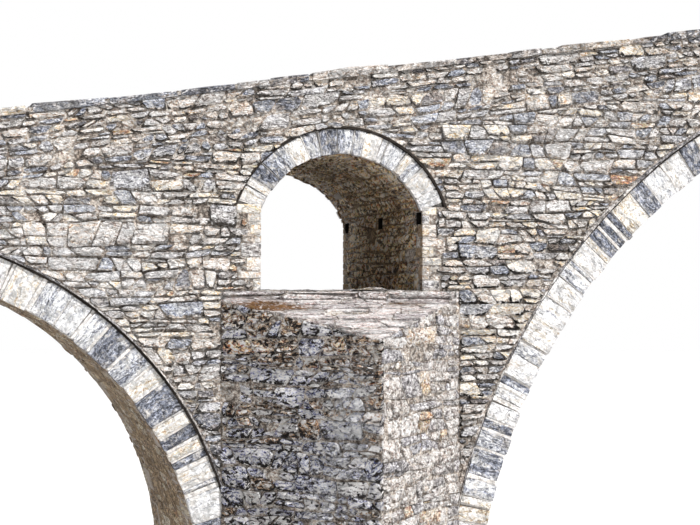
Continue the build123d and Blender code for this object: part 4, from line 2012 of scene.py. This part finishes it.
class BRIDGE_OT_stage(bpy.types.Operator):
    """Set the floor, the light and the camera"""

    bl_idname = "bridge.stage"
    bl_label = "Stage"

    def execute(self, context):
        scene = context.scene
        self.floor(scene)
        self.sun(scene)
        self.sky(scene)
        self.camera(scene)
        scene.view_settings.view_transform = "Standard"
        return {"FINISHED"}

    def floor(self, scene):
        """A pale floor that fades out far from the bridge."""
        bm = bmesh.new()
        bmesh.ops.create_grid(bm, x_segments=2, y_segments=2, size=120.0)
        mesh = bpy.data.meshes.new("floor")
        bm.to_mesh(mesh)
        bm.free()
        floor = bpy.data.objects.new("floor", mesh)
        floor.location.z = -0.002
        scene.collection.objects.link(floor)
        m = Shader("floor_plaster")
        speckle = m.noise(m.place, 3.0, 3.0)
        pale = tuple(scene.bridge_stage.floor_colour) + (1.0,)
        colour = m.mix(m.level(speckle, 0.3, 0.7, 0.0, 0.06), pale, grey(0.6))
        mesh.materials.append(m.finish(colour, speckle, 0.0005))
        reach = m.node("ShaderNodeVectorMath", {0: m.place}, operation="LENGTH").outputs["Value"]
        inputs = {
            0: m.level(reach, 22.0, 100.0),
            1: m.surface.outputs[0],
            2: m.node("ShaderNodeBsdfTransparent").outputs[0],
        }
        fade = m.node("ShaderNodeMixShader", inputs)
        m.fill(m.tree.nodes["Material Output"].inputs["Surface"], fade.outputs[0])

    def sun(self, scene):
        stage = scene.bridge_stage
        light = bpy.data.lights.new("sun", "SUN")
        light.energy = stage.sun_strength
        light.angle = math.radians(2)
        light.color = (1.0, 0.985, 0.97)
        sun = bpy.data.objects.new("sun", light)
        flat = math.radians(stage.sun_side)
        rise = math.radians(stage.sun_height)
        to_sun = Vector((math.sin(flat) * math.cos(rise), -math.cos(flat) * math.cos(rise), math.sin(rise)))
        sun.rotation_euler = to_sun.to_track_quat("Z", "Y").to_euler()
        scene.collection.objects.link(sun)

    def sky(self, scene):
        """Light from above, stronger than from below. The camera sees plain white."""
        strength = scene.bridge_stage.sky_strength
        world = bpy.data.worlds.new("sky")
        world.use_nodes = True
        nodes, links = world.node_tree.nodes, world.node_tree.links
        sky = nodes["Background"]
        sky.inputs["Color"].default_value = (0.95, 0.97, 1.0, 1.0)
        ray = nodes.new("ShaderNodeTexCoord")
        height = nodes.new("ShaderNodeSeparateXYZ")
        links.new(ray.outputs["Generated"], height.inputs[0])
        level = nodes.new("ShaderNodeMapRange")
        links.new(height.outputs["Z"], level.inputs["Value"])
        level.inputs["From Min"].default_value = -0.2
        level.inputs["From Max"].default_value = 0.8
        level.inputs["To Min"].default_value = 0.45 * strength
        level.inputs["To Max"].default_value = 1.7 * strength
        links.new(level.outputs["Result"], sky.inputs["Strength"])
        white = nodes.new("ShaderNodeBackground")
        white.inputs["Color"].default_value = (1.0, 1.0, 1.0, 1.0)
        rays = nodes.new("ShaderNodeLightPath")
        both = nodes.new("ShaderNodeMixShader")
        links.new(rays.outputs["Is Camera Ray"], both.inputs[0])
        links.new(sky.outputs[0], both.inputs[1])
        links.new(white.outputs[0], both.inputs[2])
        links.new(both.outputs[0], nodes["World Output"].inputs["Surface"])
        scene.world = world

    def camera(self, scene):
        """The photograph's camera, fitted to the lines and circles that it shows."""
        stage = scene.bridge_stage
        data = bpy.data.cameras.new("camera")
        data.lens = stage.lens
        data.sensor_width = 36.0
        data.clip_end = 500.0
        camera = bpy.data.objects.new("camera", data)
        camera.location = stage.camera_place
        camera.rotation_euler = (math.pi / 2 + stage.camera_lift, 0, -stage.camera_turn)
        scene.collection.objects.link(camera)
        scene.camera = camera


class BRIDGE_PT_panel(bpy.types.Panel):
    bl_idname = "BRIDGE_PT_panel"
    bl_label = "Bridge"
    bl_space_type = "VIEW_3D"
    bl_region_type = "UI"
    bl_category = "Bridge"

    def draw(self, context):
        for operator in OPERATORS:
            self.layout.operator(operator.bl_idname)
        for group in (context.scene.bridge_sizes, context.scene.bridge_stonework, context.scene.bridge_stage):
            for name in group.bl_rna.properties.keys():
                if name not in ("rna_type", "name"):
                    self.layout.prop(group, name)


OPERATORS = (
    BRIDGE_OT_mortar,
    BRIDGE_OT_walls,
    BRIDGE_OT_corners,
    BRIDGE_OT_cutwaters,
    BRIDGE_OT_rings,
    BRIDGE_OT_hoods,
    BRIDGE_OT_undersides,
    BRIDGE_OT_windows,
    BRIDGE_OT_ends,
    BRIDGE_OT_coping,
    BRIDGE_OT_paving,
    BRIDGE_OT_stage,
)
CLASSES = (BridgeSizes, BridgeStonework, BridgeStage, *OPERATORS, BRIDGE_PT_panel)


def register():
    for cls in CLASSES:
        bpy.utils.register_class(cls)
    bpy.types.Scene.bridge_sizes = PointerProperty(type=BridgeSizes)
    bpy.types.Scene.bridge_stonework = PointerProperty(type=BridgeStonework)
    bpy.types.Scene.bridge_stage = PointerProperty(type=BridgeStage)


def unregister():
    del bpy.types.Scene.bridge_sizes
    del bpy.types.Scene.bridge_stonework
    del bpy.types.Scene.bridge_stage
    for cls in reversed(CLASSES):
        bpy.utils.unregister_class(cls)


def main():
    register()
    bpy.ops.bridge.mortar()
    bpy.ops.bridge.walls()
    bpy.ops.bridge.corners()
    bpy.ops.bridge.cutwaters()
    bpy.ops.bridge.rings()
    bpy.ops.bridge.hoods()
    bpy.ops.bridge.undersides()
    bpy.ops.bridge.windows()
    bpy.ops.bridge.ends()
    bpy.ops.bridge.coping()
    bpy.ops.bridge.paving()
    bpy.ops.bridge.stage()


if __name__ == "__main__":
    main()
